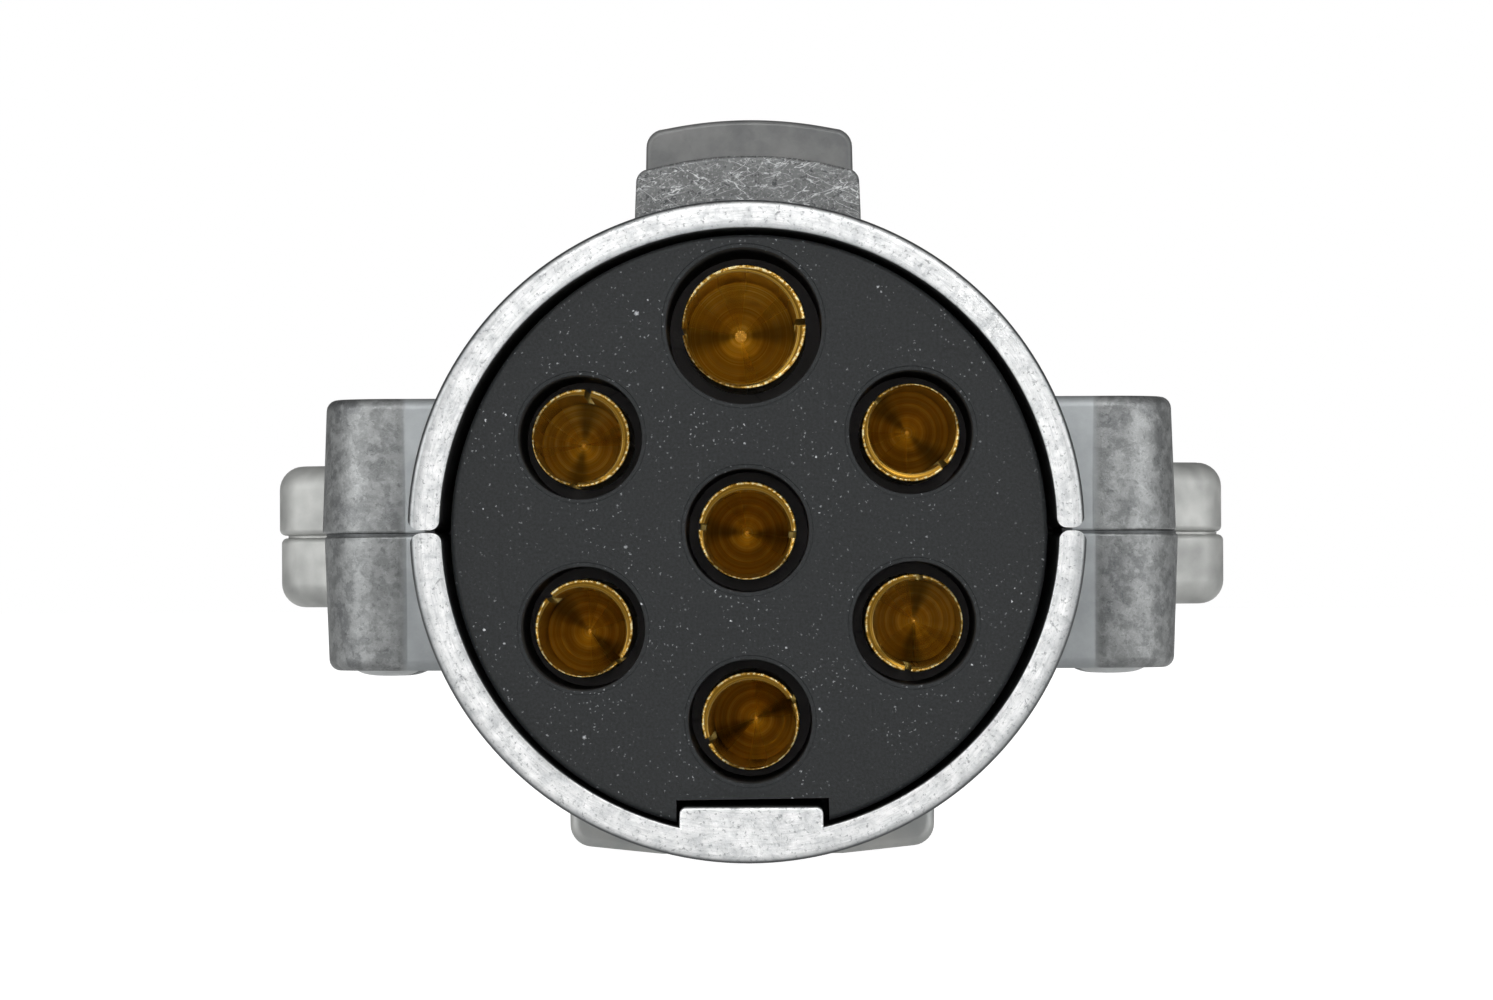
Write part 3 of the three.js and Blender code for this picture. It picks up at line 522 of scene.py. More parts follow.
def turned_brass():
    """Free-cutting brass, bored and turned: amber with fine rings left by the tool and a small teat at the
    drill's point. Painted reflections: lighter and darker sectors round the bore, and a dark bow tie along the
    saw slot's line on the bore's end; painted glints on the mouth's edge over painted shade. The piece's
    own_axis has its slot along x."""
    made, tree, shader = material("turned_brass")
    own = add(tree, "Attribute", attribute_name="own_axis").outputs["Vector"]
    seed = add(tree, "Attribute", attribute_name="own_number").outputs["Fac"]
    outward = add(tree, "Attribute", attribute_name="tube_share").outputs["Fac"]
    x, y, z = add(tree, "SeparateXYZ", [own]).outputs
    flat = add(tree, "CombineXYZ", [x, 0.0, z])
    radius = add(tree, "VectorMath", [flat], operation="LENGTH")
    heading = add(tree, "VectorMath", [flat], operation="NORMALIZE")
    sine = add(tree, "Math", [add(tree, "SeparateXYZ", [heading]).outputs["Z"]], operation="ABSOLUTE")
    turns = add(tree, "CombineXYZ", [radius, y, 0.0])
    rings = add(tree, "TexNoise", [turns, per_mm(0.14), 3.0, 0.8])
    wide = add(tree, "TexNoise", [turns, per_mm(0.6), 2.0, 0.6])
    aim = add(tree, "VectorMath", [heading, add(tree, "CombineXYZ", [0.0, seed, 0.0])], operation="ADD")
    sectors = add(tree, "TexNoise", [aim, 1.3, 1.5, 0.5])

    colour = add(tree, "ValToRGB", [rings], [(0.3, "#cbaa4e"), (0.5, "#ead084"), (0.72, "#fff2c0")])
    # Painted reflection: lighter and darker sectors round the axis, as the turned bore mirrors the lamps.
    colour = laid(tree, colour, "#b5983f", add(tree, "ValToRGB", [sectors], [(0.38, 0.5), (0.56, 0.0)]))
    colour = laid(tree, colour, "#ad903a", add(tree, "ValToRGB", [wide], [(0.4, 0.45), (0.6, 0.0)]))
    # Painted reflection: a dark bow tie on the bore's end, along the slot's line.
    bow = add(tree, "ValToRGB", [sine], [(0.1, 0.62), (0.42, 0.0)])
    colour = laid(tree, colour, "#6d6232", bow, zone(tree, (y, 15.0, 18.0), (radius, 0.3, 0.9)))
    large = add(tree, "ValToRGB", [seed], [(0.0, 1.0), (0.5, 0.0)])
    reach = add(tree, "Math", [large, 0.00028, 0.00014], operation="MULTIPLY_ADD")
    teat = add(tree, "Math", [radius, reach], operation="DIVIDE")
    teat = add(tree, "ValToRGB", [teat], [(0.0, 1.0), (0.6, 0.85), (0.85, 1.0), (1.0, 0.0)])
    colour = laid(tree, colour, "#d4993a", teat, zone(tree, (y, 18.0, 19.0)))

    # The mouth: painted glints along the outer edge, round a chamfer painted darker as shade.
    edge = patches(tree, own, 0.25, [(0.4, "#8f6720"), (0.49, "#deac4a"), (0.58, "#fff0b8")], 3.0, 0.6)
    dull = add(tree, "ValToRGB", [rings], [(0.4, "#5c4010"), (0.55, "#7e5d1e"), (0.66, "#cda448")])
    edge = laid(tree, dull, edge, add(tree, "ValToRGB", [outward], [(0.938, 0.0), (0.958, 1.0)]))
    feed(tree, shader, {
        "Base Color": laid(tree, colour, edge, zone(tree, (y, 3.3, 3.05))), "Metallic": 1.0,
        "Roughness": add(tree, "ValToRGB", [sectors], [(0.35, 0.22), (0.65, 0.36)]),
        "Anisotropic": 0.6, "Tangent": add(tree, "VectorMath", [heading, (0, 1, 0)], operation="CROSS_PRODUCT"),
        "Normal": relief(tree, (wide, 0.02), (rings, 0.014))})
    return made


def plated_steel():
    """Zinc-plated steel, cold headed: bright grey with a faint blue cast and light handling marks."""
    made, tree, shader = material("zinc_plated_steel")
    place = add(tree, "TexCoord").outputs["Object"]
    cloud = add(tree, "TexNoise", [place, per_mm(1.6), 4.0, 0.6])
    marks = add(tree, "TexNoise", {"Vector": place, "Scale": per_mm(0.9), "Detail": 5.0, "Roughness": 0.7,
                "Distortion": 1.2}, noise_type="RIDGED_MULTIFRACTAL")
    colour = add(tree, "ValToRGB", [cloud], [(0.3, "#a9acad"), (0.7, "#c9cccc")])
    colour = laid(tree, colour, "#e9ebeb", add(tree, "ValToRGB", [marks], [(0.6, 0.0), (0.8, 0.6)]))
    feed(tree, shader, {"Base Color": colour, "Metallic": 1.0, "Normal": relief(tree, (cloud, 0.03)),
                        "Roughness": add(tree, "ValToRGB", [cloud], [(0.3, 0.24), (0.7, 0.4)])})
    return made


def black_rubber():
    """Neoprene, compression moulded: near black and matt, with a dusty bloom."""
    made, tree, shader = material("moulded_neoprene")
    place = add(tree, "TexCoord").outputs["Object"]
    bloom = add(tree, "TexNoise", [place, per_mm(2.5), 4.0, 0.6])
    grain = add(tree, "TexNoise", [place, per_mm(0.25), 2.0, 0.55])
    feed(tree, shader, {"Base Color": add(tree, "ValToRGB", [bloom], [(0.35, "#191a1b"), (0.7, "#2b2c2d")]),
                        "Roughness": add(tree, "ValToRGB", [bloom], [(0.3, 0.66), (0.7, 0.84)]),
                        "IOR": 1.52, "Normal": relief(tree, (grain, 0.03))})
    return made


ZINC = die_cast_zinc()
NYLON = moulded_nylon()
BRASS = turned_brass()
STEEL = plated_steel()
RUBBER = black_rubber()


# ------------------------------------------------------------------ pieces

def to_row(solid):
    """Carries a scratch solid from the plug's millimetres into the row frame's metres."""
    solid.data.transform(Matrix.Scale(0.001, 4) @ Matrix.Translation((0, RIM_Y, AXIS_Z)))


def finished(name, solid, made_of, body, finish, *nodes):
    """Names a solid, gives it its material and smooth shading, and hangs it on its CAD body."""
    to_row(solid)
    solid.name = solid.data.name = name
    solid.data.materials.clear()
    solid.data.materials.append(made_of)
    solid.data.shade_smooth()
    solid.data.set_sharp_from_angle(angle=SHARP_EDGE)
    weigh = solid.modifiers.new("even_shading", "WEIGHTED_NORMAL")
    weigh.keep_sharp = True
    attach(solid, body)
    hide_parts(*nodes)
    return solid


def housing_body(share):
    """The outside without ears: rim with its round, barrel, taper and neck, turned about the axis, the
    height scaled by the share left."""
    profile = rounded([(0, 0), (BARREL_R, 0), (BARREL_R, BARREL_END), (NECK_R, NECK_START),
                       (NECK_R, NECK_END), (0, NECK_END)], [0, RIM_ROUND, 3.0, 3.0, 0.5, 0])
    return squeezed(turned(profile[1:-1], 192), share, wide=WIDE_SHARE)


def front_bore(share):
    """The bore ahead of the seat rib, with a small round at its mouth: a circle whose height is scaled by
    the share left."""
    mouth = [(BORE_R + MOUTH_ROUND * (1 - math.cos(t)), MOUTH_ROUND * (1 - math.sin(t)))
             for t in np.linspace(np.pi / 2, 0, 6)]
    bore = turned([(BORE_R + MOUTH_ROUND + 0.2, -1), *mouth, (BORE_R, SEAT_FRONT)], 192)
    return squeezed(bore, share, BORE_SHIFT)


def back_room(grow=0.0):
    """The space behind: seat rib, chamber, neck and grommet groove."""
    profile = [(19.1, SEAT_FRONT - 0.1), (19.1, 25), (BORE_R, 25), (BORE_R, 57), (CABLE_ROOM_R, 73.6),
               (CABLE_ROOM_R, 76), (11, 76), (11, 84), (CABLE_ROOM_R, 84), (CABLE_ROOM_R, NECK_END + 1)]
    return turned([(r + grow, y) for r, y in profile], 192)


def ear_outline(x, y):
    """In plan, two round bosses joined by a slimmer web, with a blend between: the blend's centre is one
    boss and one blend radius from the boss's, and one blend radius off the web's face."""
    rise = WEB_HALF + WEB_BLEND
    reach = math.sqrt((BOSS_R + WEB_BLEND) ** 2 - rise ** 2)
    at = math.degrees(math.atan2(rise, -reach))
    boss = arc(BOSS_R, -at, at, 28, (x, y))
    hollow = arc(WEB_BLEND, at - 180, -90, 6, (x - reach, y + rise))[1:]
    low = hollow[::-1] * [1, -1] + [0, 2 * y]
    right = np.concatenate([low, boss, hollow])
    return mirrored(right)


def ear_pair(ear):
    """The ear outline carried up and down, drafted and with round rims."""
    height = ear["height"]
    levels = [(z, d + EAR_DRAFT * abs(z) / height) for z, d in rims(-height, height, EAR_ROUND, EAR_ROUND)]
    levels.insert(len(levels) // 2, (0.0, 0.0))
    return carried(ear_outline(ear["x"], ear["y"]), levels, "z")


WING_CORNERS = [(8, 50), (21.2, 54), (35.45, 63.5), (35.45, 70), (NECK_R, 77), (8, 77)]
WING_RADII = [0, 1.5, 3.2, 2.6, 1.5, 0]
PIN_X, PIN_Y = 28.75, 66.5


def wings(depth, low, high, edge_low=0.0, edge_high=0.0):
    """The pull wings' plan, inset by depth, carried between two levels with round rims."""
    plan = rounded(mirrored(WING_CORNERS), WING_RADII + WING_RADII[::-1])
    return carried(inset(plan, depth), rims(low, high, edge_low, edge_high, 8), "z")


def wing_half(up):
    """The wings of one half, rounded at the parting too and hollowed like the housing."""
    low, high, edges = PARTING_GAP / 2, 5.3, (0.45, 1.8)
    solid = wings(0.0, low, high, *edges) if up > 0 else wings(0.0, -high, -low, *edges[::-1])
    holes = [rod(1.75, -1, 2.75, (side * PIN_X, PIN_Y), 32, "z") for side in (-1, 1)] if up > 0 else []
    return cut(solid, back_room(), *holes)


def crown(width, height, edge, draft, y0, y1, front_round):
    """A block on top of the barrel, in front view: sides that flare at the foot and lean in, and a top
    concentric with the barrel."""
    top = BARREL_R + height
    half = width / 2
    a = math.degrees(math.acos((half - draft - edge) / top))
    corner = (half - draft - edge, math.sqrt(top ** 2 - (half - draft - edge) ** 2) - edge)
    foot = BARREL_R * math.cos(math.asin(half / BARREL_R))
    right = np.concatenate([[(half + 0.05, foot - 3), (half, foot + 0.5)], arc(edge, 0, a * 0.92, 6, corner),
                            arc(top, a, 90, 24)[1:-1]])
    return carried(mirrored(right), rims(y0, y1, front_round, 0.0, 5), "y")


def thumb_pad():
    """A block whose underside is flat along the middle and falls away to both sides, with a sloped back
    and round-bottomed grooves across it: a groove's radius is its width squared over eight times its
    depth, and half its depth."""
    root = -6.5
    view = rounded(mirrored([(6.5, -PAD_DEPTH), (13.1, -PAD_DEPTH + 0.7), (13.35, root)])[::-1],
                   [0, 1.6, 2, 2, 1.6, 0], 8)
    turn = sum(view[:, 0] * np.roll(view[:, 1], -1) - view[:, 1] * np.roll(view[:, 0], -1))
    view = view if turn > 0 else view[::-1]
    block = carried(view, rims(42, 74, 0.7, 0.0), "y")
    side = rounded([(41, root), (41, -PAD_DEPTH - 1), (66, -PAD_DEPTH - 1), (66, -PAD_DEPTH),
                    (73, -NECK_R + 1), (73, root)], [0, 0, 0, 0.8, 0.5, 0])
    block = keep(block, carried(side, [(-14, 0), (14, 0)], "x"))
    width, deep, pitch, count = 1.1, 0.5, 4, 6
    groove_r = width ** 2 / (8 * deep) + deep / 2
    grooves = [moved(rod(groove_r, -20, 20, sides=24), y=54 + pitch * (i - (count - 1) / 2),
                     z=-PAD_DEPTH + deep - groove_r, turn=math.pi / 2, about="Z") for i in range(count)]
    return cut(block, *grooves)


def head_seat(height):
    """Where a lock washer bears in an ear: the screw's head stands a little out of the counterbore."""
    return -height - SCREW_PROUD + SCREW_HEAD + SEAT + WASHER_THICK


def ear_holes(ear):
    """Counterbore, clearance hole and blind tapped hole at each boss."""
    height = ear["height"]
    holes = []
    for side in (-1, 1):
        centre = (side * ear["x"], ear["y"])
        floor = head_seat(height) + SEAT
        lip = turned([(4.2, -height - 1), (3.95, -height), (3.62, -height + 0.35), (3.55, -height + 0.6),
                      (3.55, floor)], 48, centre, axis="z")
        holes += [lip, rod(2.3, -height, 0, centre, 32, "z"), rod(2.1, -1, height - 2, centre, 32, "z")]
    return holes


def tooth(r, y):
    """A gripping ring that stands out of a bore, its crest rounded."""
    profile = [(r + 0.5, y - 0.65), (r - 0.6, y - 0.55), (r - 1, y - 0.25), (r - 1, y + 0.25),
               (r - 0.6, y + 0.55), (r + 0.5, y + 0.65)]
    return turned(profile, 96, closed=True)


def tail():
    """The trough under the cable clamp, with its teeth and the clamp screws' bosses."""
    trough = turned(rounded([(TAIL_BORE, 85), (TAIL_R, 85), (TAIL_R, TAIL_END), (TAIL_BORE, TAIL_END)],
                            [0, 0, 0.8, 0.6]), 128, closed=True)
    trough = cut(trough, rod(CABLE_ROOM_R, 84, 88.5, sides=128))
    deep = -TAIL_R * 0.7
    for side in (-1, 1):
        x = side * CLAMP_X
        boss = turned([(3.8, deep), (4.15, deep + 0.2), (LUG_R, deep + 0.6), (LUG_R, 0)], 64, (x, CLAMP_Y),
                      axis="z")
        x0, x1 = sorted((x, side * TAIL_BORE * 1.1))
        web = np.array([(x0, CLAMP_Y - LUG_R), (x1, CLAMP_Y - LUG_R), (x1, CLAMP_Y + LUG_R),
                        (x0, CLAMP_Y + LUG_R)])
        trough = join(trough, boss, carried(web, rims(deep, 0.0, 0.6, 0.0), "z"))
    teeth = [tooth(TAIL_BORE, CLAMP_Y - 1 + 6 * i) for i in (-1, 0, 1)]
    trough = join(trough, *teeth)
    return cut(trough, *[rod(2.1, -TAIL_R, 1, (side * CLAMP_X, CLAMP_Y), 32, "z") for side in (-1, 1)])


def key_rib():
    """The rib inside the lower half that keys the carrier, its rims slightly rounded."""
    left, right = RIB_MIDDLE - RIB_HALF, RIB_MIDDLE + RIB_HALF
    view = rounded([(left - 0.05, -BORE_R - 0.5), (right + 0.05, -BORE_R - 0.5), (right, -RIB_REACH),
                    (left, -RIB_REACH)], [0, 0, 0.45, 0.45], 5)
    return carried(view, rims(0, 19, 0.2, 0.3, 4), "y")


def at_parting(level):
    """True for an edge behind the nose where a flat parting face meets a wall."""
    def chosen(edge):
        if any(abs(vertex.co.z - level) > 1e-3 for vertex in edge.verts) or len(edge.link_faces) != 2:
            return False
        flat = [abs(face.normal.z) > 0.99 for face in edge.link_faces]
        outer = [math.hypot(vertex.co.x, vertex.co.z) for vertex in edge.verts]
        behind = min(vertex.co.y for vertex in edge.verts) > NOSE_END
        return sum(flat) == 1 and min(outer) > CABLE_ROOM_R + 0.5 and behind
    return chosen


def nose_rounds(up):
    """What the rounds take off both ends of a half ring along the nose: the corner outside an arc that
    touches the wall and the parting face."""
    tools = []
    for side in (-1, 1):
        for wall, shift, r, out, end in ((BARREL_R * WIDE_SHARE, 0.0, 0.8, 1, NOSE_END),
                                         (BORE_R, BORE_SHIFT, 0.65, -1, SEAT_FRONT - 0.5)):
            wall += side * shift
            x, z = wall - out * (r + 0.004), PARTING_GAP / 2 + r
            a = np.radians(np.linspace(0, -90, 9))
            curve = np.stack([x + out * r * np.cos(a), z + r * np.sin(a)], 1)
            corner = np.concatenate([curve, [(x, -0.5), (wall + out * 0.8, -0.5), (wall + out * 0.8, z)]])
            tools.append(carried(corner * [side, up], [(-1, 0), (end, 0)], "y"))
    return tools


def upper_half():
    """The half with the key and the lug: everything above the parting, hollowed, its nose rounded off,
    with its wings."""
    outside = join(housing_body(UPPER_SHARE[0]), ear_pair(FRONT_EAR), ear_pair(REAR_EAR),
                   moved(crown(15.1, 2.9, 0.9, 0.08, 4, 31, 0.3), x=CROWN_SHIFT),
                   moved(crown(14.75, 6.9, 1.3, 0.12, 30, 39, 0.4), x=CROWN_SHIFT))
    cuts = [front_bore(UPPER_SHARE[1]), back_room(), *ear_holes(FRONT_EAR), *ear_holes(REAR_EAR)]
    half = keep(cut(outside, *cuts), box(-FAR, FAR, -FAR, FAR, PARTING_GAP / 2, FAR))
    half = soften(half, at_parting(PARTING_GAP / 2), PARTING_ROUND)
    return moved(join(cut(half, *nose_rounds(1)), wing_half(1)), x=-HALF_SHIFT)


def tongue():
    """A low strip on the lower half's parting face, inside its edges, that closes the gap to sight."""
    ears = inset(ear_outline(FRONT_EAR["x"], FRONT_EAR["y"]), 0.15)
    half = BARREL_R - 0.5
    strips = join(wings(0.5, -0.5, STRIP_TOP), carried(ears, [(-0.5, 0), (STRIP_TOP, 0)], "z"),
                  box(-half, half, 5, BARREL_END, -0.5, STRIP_TOP))
    drops = [rod(2.6, -2, 2, (side * FRONT_EAR["x"], FRONT_EAR["y"]), 32, "z") for side in (-1, 1)]
    return cut(strips, rod(BORE_R + 0.5, -1, SEAT_FRONT, sides=128), back_room(0.5), *drops)


def lower_half():
    """The half with the pad, the key rib and the cable trough: everything below the parting, with its
    wings, their pins and the strip that closes the gap."""
    outside = join(housing_body(LOWER_SHARE[0]), ear_pair(FRONT_EAR), ear_pair(REAR_EAR), thumb_pad())
    hollow = cut(outside, front_bore(LOWER_SHARE[1]), back_room(), *ear_holes(FRONT_EAR),
                 *ear_holes(REAR_EAR))
    half = keep(join(hollow, tail(), key_rib()), box(-FAR, FAR, -FAR, FAR, -FAR, -PARTING_GAP / 2))
    half = cut(soften(half, at_parting(-PARTING_GAP / 2), PARTING_ROUND), *nose_rounds(-1))
    pins = [turned([(1.4, -1), (1.4, 2.1), (1.1, 2.4)], 32, (side * PIN_X, PIN_Y), axis="z")
            for side in (-1, 1)]
    return moved(join(half, wing_half(-1), tongue(), *pins), x=HALF_SHIFT)


def cable_clamp():
    """The saddle over the cable: an arch with a lug at each side for its screw."""
    z0, z1 = CLAMP_REST, CLAMP_REST + LUG_THICK
    arch = turned(rounded([(6, 90), (CLAMP_ARCH_R, 90), (CLAMP_ARCH_R, 106), (6, 106)], [0, 0.9, 0.9, 0]),
                  128, closed=True)
    plan = np.array([(-CLAMP_X, CLAMP_Y - LUG_R), (CLAMP_X, CLAMP_Y - LUG_R), (CLAMP_X, CLAMP_Y + LUG_R),
                     (-CLAMP_X, CLAMP_Y + LUG_R)])
    bars = [carried(plan, rims(z0, z1, 0.3, 0.5), "z")]
    bars += [carried(arc(LUG_R, 0, 360, 48, (side * CLAMP_X, CLAMP_Y))[:-1], rims(z0, z1, 0.3, 0.7), "z")
             for side in (-1, 1)]
    body = cut(join(arch, *bars), rod(TAIL_BORE, 89, 107, sides=128))
    body = join(body, *[tooth(TAIL_BORE, CLAMP_Y - 1 + 3 * i) for i in (-1, 1)])
    body = keep(body, box(-FAR, FAR, 80, 120, z0, FAR))
    holes = [rod(2.3, z0 - 1, z1 + 1, (side * CLAMP_X, CLAMP_Y), 32, "z") for side in (-1, 1)]
    holes += [rod(3.55, z1, z1 + 12, (side * CLAMP_X, CLAMP_Y), 48, "z") for side in (-1, 1)]
    return cut(body, *holes)


def carrier():
    """The moulded body: a disc with a chamfered face, a cavity and bores for each contact, and a keyway."""
    groove_r = 18.85
    body = turned(rounded([(0, CARRIER_FRONT), (CARRIER_R, CARRIER_FRONT), (CARRIER_R, 21.75),
                           (groove_r, 21.75), (groove_r, 25.25), (CARRIER_R, 25.25), (CARRIER_R, CARRIER_END),
                           (0, CARRIER_END)], [0, 0.35, 0, 0, 0, 0, 0.3, 0])[1:-1], 256)
    moved(body, x=CARRIER_SET[0], z=CARRIER_SET[1])
    tools = []
    for _, size, radius, degrees, *_ in CONTACTS:
        centre = (radius * math.cos(math.radians(degrees)), radius * math.sin(math.radians(degrees)))
        cavity = size["cavity"]
        face = CARRIER_FRONT
        tools.append(turned([(cavity + 0.3, face - 0.25), (cavity + 0.3, face + 0.01),
                             (cavity + 0.25, face + 0.07), (cavity + 0.04, face + 0.08),
                             (cavity, face + 0.12), (cavity - 0.05, 17.5),
                             (size["tube"] + 0.03, 17.5), (size["tube"] + 0.03, 19.6),
                             (size["body"] + 0.2, 19.6), (size["body"] + 0.2, 26.45),
                             (size["flange"] + 0.2, 26.45), (size["flange"] + 0.2, 29)], 96, centre))
    half = RIB_HALF + 0.3
    middle = KEYWAY_MIDDLE - RIB_REACH * math.sin(CARRIER_TURN)
    tools.append(box(middle - half, middle + half, -0.2, 22, -BARREL_R, -17.85))
    tools += [rod(1.4, 20, 29, (side * 16.5, 0), 24) for side in (-1, 1)]
    return moved(cut(body, *tools), turn=-CARRIER_TURN)


def bore_shift(y, lean, mouth):
    """How far the bore's middle is off the tube's at each station, as (x, 0, z): the mouth's shift at
    y = 3, and the lean by the drill's shoulder 16 mm behind."""
    share = np.clip((np.asarray(y) - 3) / 16, 0, 1.2)[:, None]
    ends = np.array([mouth, lean])
    x, z = (ends[0] + share * (ends[1] - ends[0])).T
    return np.stack([x, np.zeros_like(x), z], 1)


def socket(size, slot_at, lean, mouth):
    """A split socket about its own axis: a slotted front tube with a chamfered, drilled blind bore that
    runs a little off its middle, a flange, and a rear barrel with a wire hole."""
    tube, bore, body, flange = size["tube"], size["bore"], size["body"], size["flange"]
    wire, teat = size["wire"], size["teat"]
    slope = math.tan(math.radians(59))
    point = 19 + bore / slope
    walls = rounded([(bore + 0.1, 3.1), (bore + 0.25, 3.0), (tube, 3.0), (tube, 20), (body, 20), (body, 26.45),
                     (flange, 26.45), (flange, 27.85), (body, 27.85), (body, 42), (wire, 42), (wire, 31.2)],
                    [0.0, 0.0, 0.08, 0, 0.1, 0, 0.15, 0.15, 0, 0.3, 0.15, 0], 4)
    top = point - teat / slope
    drill = [(0.05, top - 0.03), (teat - 0.03, top - 0.03), (teat, top)]
    drill += [(r, point - r / slope) for r in np.linspace(teat + 0.12, bore - 0.05, 8)]
    drill += [(bore, 18.9)] + [(bore, y) for y in np.linspace(17, 4.2, 8)] + [(bore + 0.03, 3.5)]
    profile = np.array(drill + walls.tolist() + [(0.05, 30.6)])
    sides = 128
    a = np.arange(sides) * 2 * np.pi / sides
    inside = len(drill) + 2
    shift = np.zeros((len(profile), 3))
    shift[:inside] = bore_shift(profile[:inside, 1], lean, mouth)
    shift[inside - 1] *= 0.7
    rings = np.stack([profile[:, :1] * np.cos(a), np.broadcast_to(profile[:, 1:], (len(profile), sides)),
                      profile[:, :1] * np.sin(a)], -1)
    saw = moved(box(-9, 9, -1, 16, -0.225, 0.225), turn=-slot_at)
    return cut(stacked(rings + shift[:, None]), saw)


def cross_hole(size, degrees):
    """The set screw's hole through the rear barrel: a bar from the axis outwards, at the contact's angle."""
    hole = rod(size["screw"] + 0.12, 0, 9, sides=32)
    hole.data.transform(Matrix.Rotation(-math.pi / 2, 4, "Z"))
    return moved(hole, y=37, turn=-math.radians(degrees))


def pan_screw(length):
    """A slotted pan-head screw along Y: its bearing face at y = 0, its head domed towards +Y, its shank
    cut with rings that stand for the thread."""
    shank, head_r, head, slot, slot_depth = SCREW_SHANK, SCREW_HEAD_R, SCREW_HEAD, 1.0, 1.2
    dome = [(head_r * math.cos(t) ** 0.6, head - 1.2 + 1.2 * math.sin(t)) for t in np.linspace(0.25, 1.5, 9)]
    pitch = 0.8
    turns = int((length - 1.2) / pitch)
    thread = []
    for i in range(turns):
        y = -length + 0.8 + i * pitch
        thread += [(shank - 0.28, y), (shank, y + pitch * 0.45), (shank, y + pitch * 0.55)]
    profile = [(shank - 0.5, -length), *thread, (shank, -0.2), (shank, 0), (head_r - 0.15, 0), (head_r, 0.2),
               (head_r, head - 1.05), *dome]
    made = turned(profile, 64)
    return cut(made, box(-9, 9, head - slot_depth, head + 1, -slot / 2, slot / 2))


def lock_washer():
    """A split lock washer round Y with slightly rounded rims, its bearing face at y = 0."""
    ring = turned(rounded([(WASHER_HOLE, 0), (WASHER_R, 0), (WASHER_R, WASHER_THICK),
                           (WASHER_HOLE, WASHER_THICK)], 0.15, 3), 64, closed=True)
    return cut(ring, moved(box(0, 9, -1, 2, -0.4, 0.4), turn=0.12, about="X"))


def grommet():
    """The rubber grommet: its flange sits in the neck's groove and its collar reaches out."""
    profile = rounded([(7, 76.3), (10.7, 76.3), (10.7, 83.7), (8.8, 83.7), (8.8, 88.2), (7, 88.2)],
                      [0.6, 0.6, 0.5, 0, 0.5, 0.6])
    return turned(profile, 128, closed=True)


finished("upper_half_casting", upper_half(), ZINC, "housing", "zinc_casting", "upper_shell")
finished("lower_half_casting", lower_half(), ZINC, "housing", "zinc_casting", "lower_shell")
finished("contact_carrier_moulding", carrier(), NYLON, "housing", "moulded_nylon", "contact_carrier")
finished("cable_grommet_moulding", grommet(), RUBBER, "housing", "rubber", "cable_grommet")
finished("cable_clamp_casting", cable_clamp(), ZINC, "cable_clamp", "zinc_casting", "cable_clamp")

for number, (name, size, radius, degrees, slot_at, lean, mouth) in enumerate(CONTACTS):
    turn = slot_at + CARRIER_TURN
    solid = cut(socket(size, turn, lean, mouth), cross_hole(size, degrees + math.degrees(CARRIER_TURN)))
    points = np.empty(3 * len(solid.data.vertices), np.float32)
    solid.data.vertices.foreach_get("co", points)
    points = points.reshape(-1, 3).astype(float)
    # The tube runs true, and the bore is off its middle: own_axis follows the bore as far as the flange.
    shift = bore_shift(points[:, 1], lean, mouth) * (points[:, 1:2] < 25)
    square = np.array([[math.cos(turn), 0, math.sin(turn)], [0, 1, 0], [-math.sin(turn), 0, math.cos(turn)]])
    own = (points - shift) @ square.T / 1000
    x, z = on_carrier(radius, degrees)
    moved(solid, x=x, z=z)
    made = finished(f"{name}_socket_turned", solid, BRASS, f"{name}_contact", "brass", f"{name}_socket")
    made.data.attributes.new("own_axis", "FLOAT_VECTOR", "POINT").data.foreach_set("vector", own.ravel())
    for label, value in (("own_number", np.full(len(points), 1.7 * number)),
                         ("tube_share", np.hypot(points[:, 0], points[:, 2]) / size["tube"])):
        made.data.attributes.new(label, "FLOAT", "POINT").data.foreach_set("value", value)


def screw_down(name, body, x, y, z, up, length, washer_turn, screw_turn):
    """A lock washer on a seat at z and a pan screw over it, their heads towards +Z where up is 1 and
    towards -Z where it is -1."""
    washer = moved(lock_washer(), turn=washer_turn)
    screw = moved(pan_screw(length), turn=screw_turn)
    for solid in (washer, screw):
        moved(solid, turn=up * math.pi / 2, about="X")
    moved(washer, x, y, z)
    moved(screw, x, y, z + up * (WASHER_THICK + SEAT))
    finished(f"{name}_lock_washer", washer, STEEL, body, "plated_steel", f"{name}_washer")
    finished(f"{name}_pan_screw", screw, STEEL, body, "plated_steel", f"{name}_screw")


HEAD_TURNS = {"front_left": 0.5, "front_right": -0.35, "rear_left": 1.2, "rear_right": 0.1}
for where, ear in (("front", FRONT_EAR), ("rear", REAR_EAR)):
    for side, word in ((-1, "left"), (1, "right")):
        name = f"{where}_{word}"
        bearing = head_seat(ear["height"])
        length = ear["height"] - 2.5 - bearing + WASHER_THICK + SEAT
        screw_down(name, "housing", side * ear["x"], ear["y"], bearing, -1, length, HEAD_TURNS[name],
                   HEAD_TURNS[name])

for side, word in ((-1, "left"), (1, "right")):
    top = CLAMP_REST + LUG_THICK + SEAT
    screw_down(f"clamp_{word}", "cable_clamp", side * CLAMP_X, CLAMP_Y, top, 1, top + WASHER_THICK + 7.3,
               0.8 * side, 0.6 * side)

for name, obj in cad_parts.items():
    if name == "terminal_retainer" or "set_screw" in name or name.startswith("retainer_screw"):
        obj.data.materials.clear()
        obj.data.materials.append(NYLON if name == "terminal_retainer" else STEEL)

# ------------------------------------------------------------------ stage

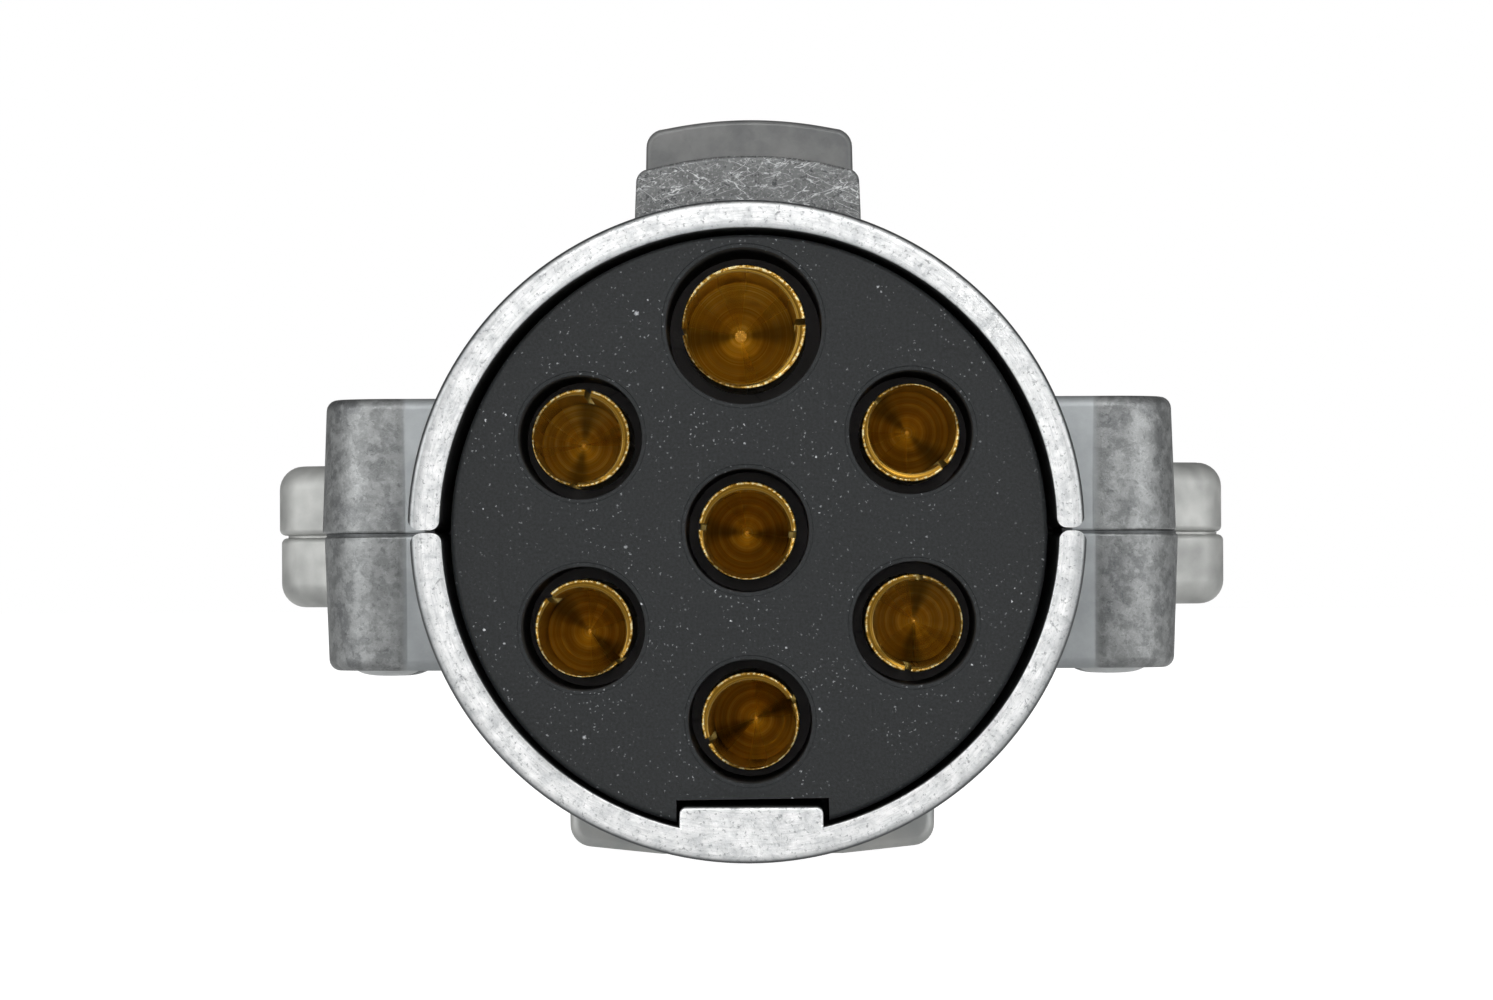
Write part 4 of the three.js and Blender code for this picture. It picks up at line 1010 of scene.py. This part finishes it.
def stage_floor():
    """A lit white table top."""
    mesh = bpy.data.meshes.new("table_top")
    mesh.from_pydata([(-3, -3, 0), (3, -3, 0), (3, 3, 0), (-3, 3, 0)], [], [(0, 1, 2, 3)])
    floor = bpy.data.objects.new("table_top", mesh)
    bpy.context.scene.collection.objects.link(floor)
    made, tree, shader = material("white_table_top")
    seen = add(tree, "LightPath").outputs["Is Camera Ray"]
    glow = add(tree, "MapRange", [seen, 0.0, 1.0, 0.35, 0.95])
    feed(tree, shader, {"Base Color": "#bcbcbc", "Roughness": 0.9, "Emission Color": "#ffffff",
                        "Emission Strength": glow})
    mesh.materials.append(made)


def softbox(name, place, width, height, power, mirrored_by_metal=True):
    """An area light aimed at the plug's middle."""
    light = bpy.data.lights.new(name, "AREA")
    light.shape, light.size, light.size_y, light.energy = "RECTANGLE", width, height, power
    made = bpy.data.objects.new(name, light)
    bpy.context.scene.collection.objects.link(made)
    made.location = place
    aim = Matrix.Translation((0, -0.03, 0.023)).translation - made.location
    made.rotation_euler = aim.to_track_quat("-Z", "Y").to_euler()
    made.visible_glossy = mirrored_by_metal


def camera():
    """A long lens in front of the rim, turned by small angles about Z, X and its own line of sight."""
    lens = bpy.data.cameras.new("camera")
    lens.sensor_width, lens.lens = 36.0, 174.54
    lens.clip_start, lens.clip_end = 0.01, 20
    made = bpy.data.objects.new("camera", lens)
    bpy.context.scene.collection.objects.link(made)
    turn = (Matrix.Rotation(math.radians(0.29), 4, "Z") @ Matrix.Rotation(math.radians(90.55), 4, "X")
            @ Matrix.Rotation(math.radians(-0.25), 4, "Z"))
    made.matrix_world = Matrix.Translation((0.0024, -0.534, 0.0205)) @ turn
    bpy.context.scene.camera = made


def sky():
    """White to the eye, and a grey room with a dim back wall to the metal."""
    world = bpy.data.worlds.new("studio")
    world.use_nodes = True
    bpy.context.scene.world = world
    tree = world.node_tree
    tree.nodes.clear()
    heading = add(tree, "TexCoord").outputs["Generated"]
    y = add(tree, "SeparateXYZ", [heading]).outputs["Y"]
    back = add(tree, "Math", [y, 0.5, 0.5], operation="MULTIPLY_ADD")
    room = add(tree, "ValToRGB", [back], [(0.0, 0.5), (0.35, 0.58), (0.5, 0.58), (0.62, 0.3), (0.8, 0.15),
                                          (1.0, 0.12)])
    seen = add(tree, "LightPath").outputs["Is Camera Ray"]
    lit = add(tree, "Background", {"Color": room, "Strength": 1.0})
    white = add(tree, "Background", {"Color": "#ffffff", "Strength": 1.0})
    add(tree, "OutputWorld", {"Surface": add(tree, "MixShader", [seen, lit, white]).outputs[0]})


stage_floor()
softbox("top_softbox", (0.0, -0.9, 0.55), 0.8, 0.35, 4.2)
softbox("left_softbox", (-0.85, -0.5, 0.2), 0.5, 0.6, 3.0)
softbox("right_softbox", (0.85, -0.5, 0.2), 0.5, 0.6, 3.0)
softbox("front_fill", (0.0, -0.75, 0.05), 0.12, 0.12, 3.0, mirrored_by_metal=False)
camera()
sky()
bpy.context.scene.view_settings.view_transform = "Standard"
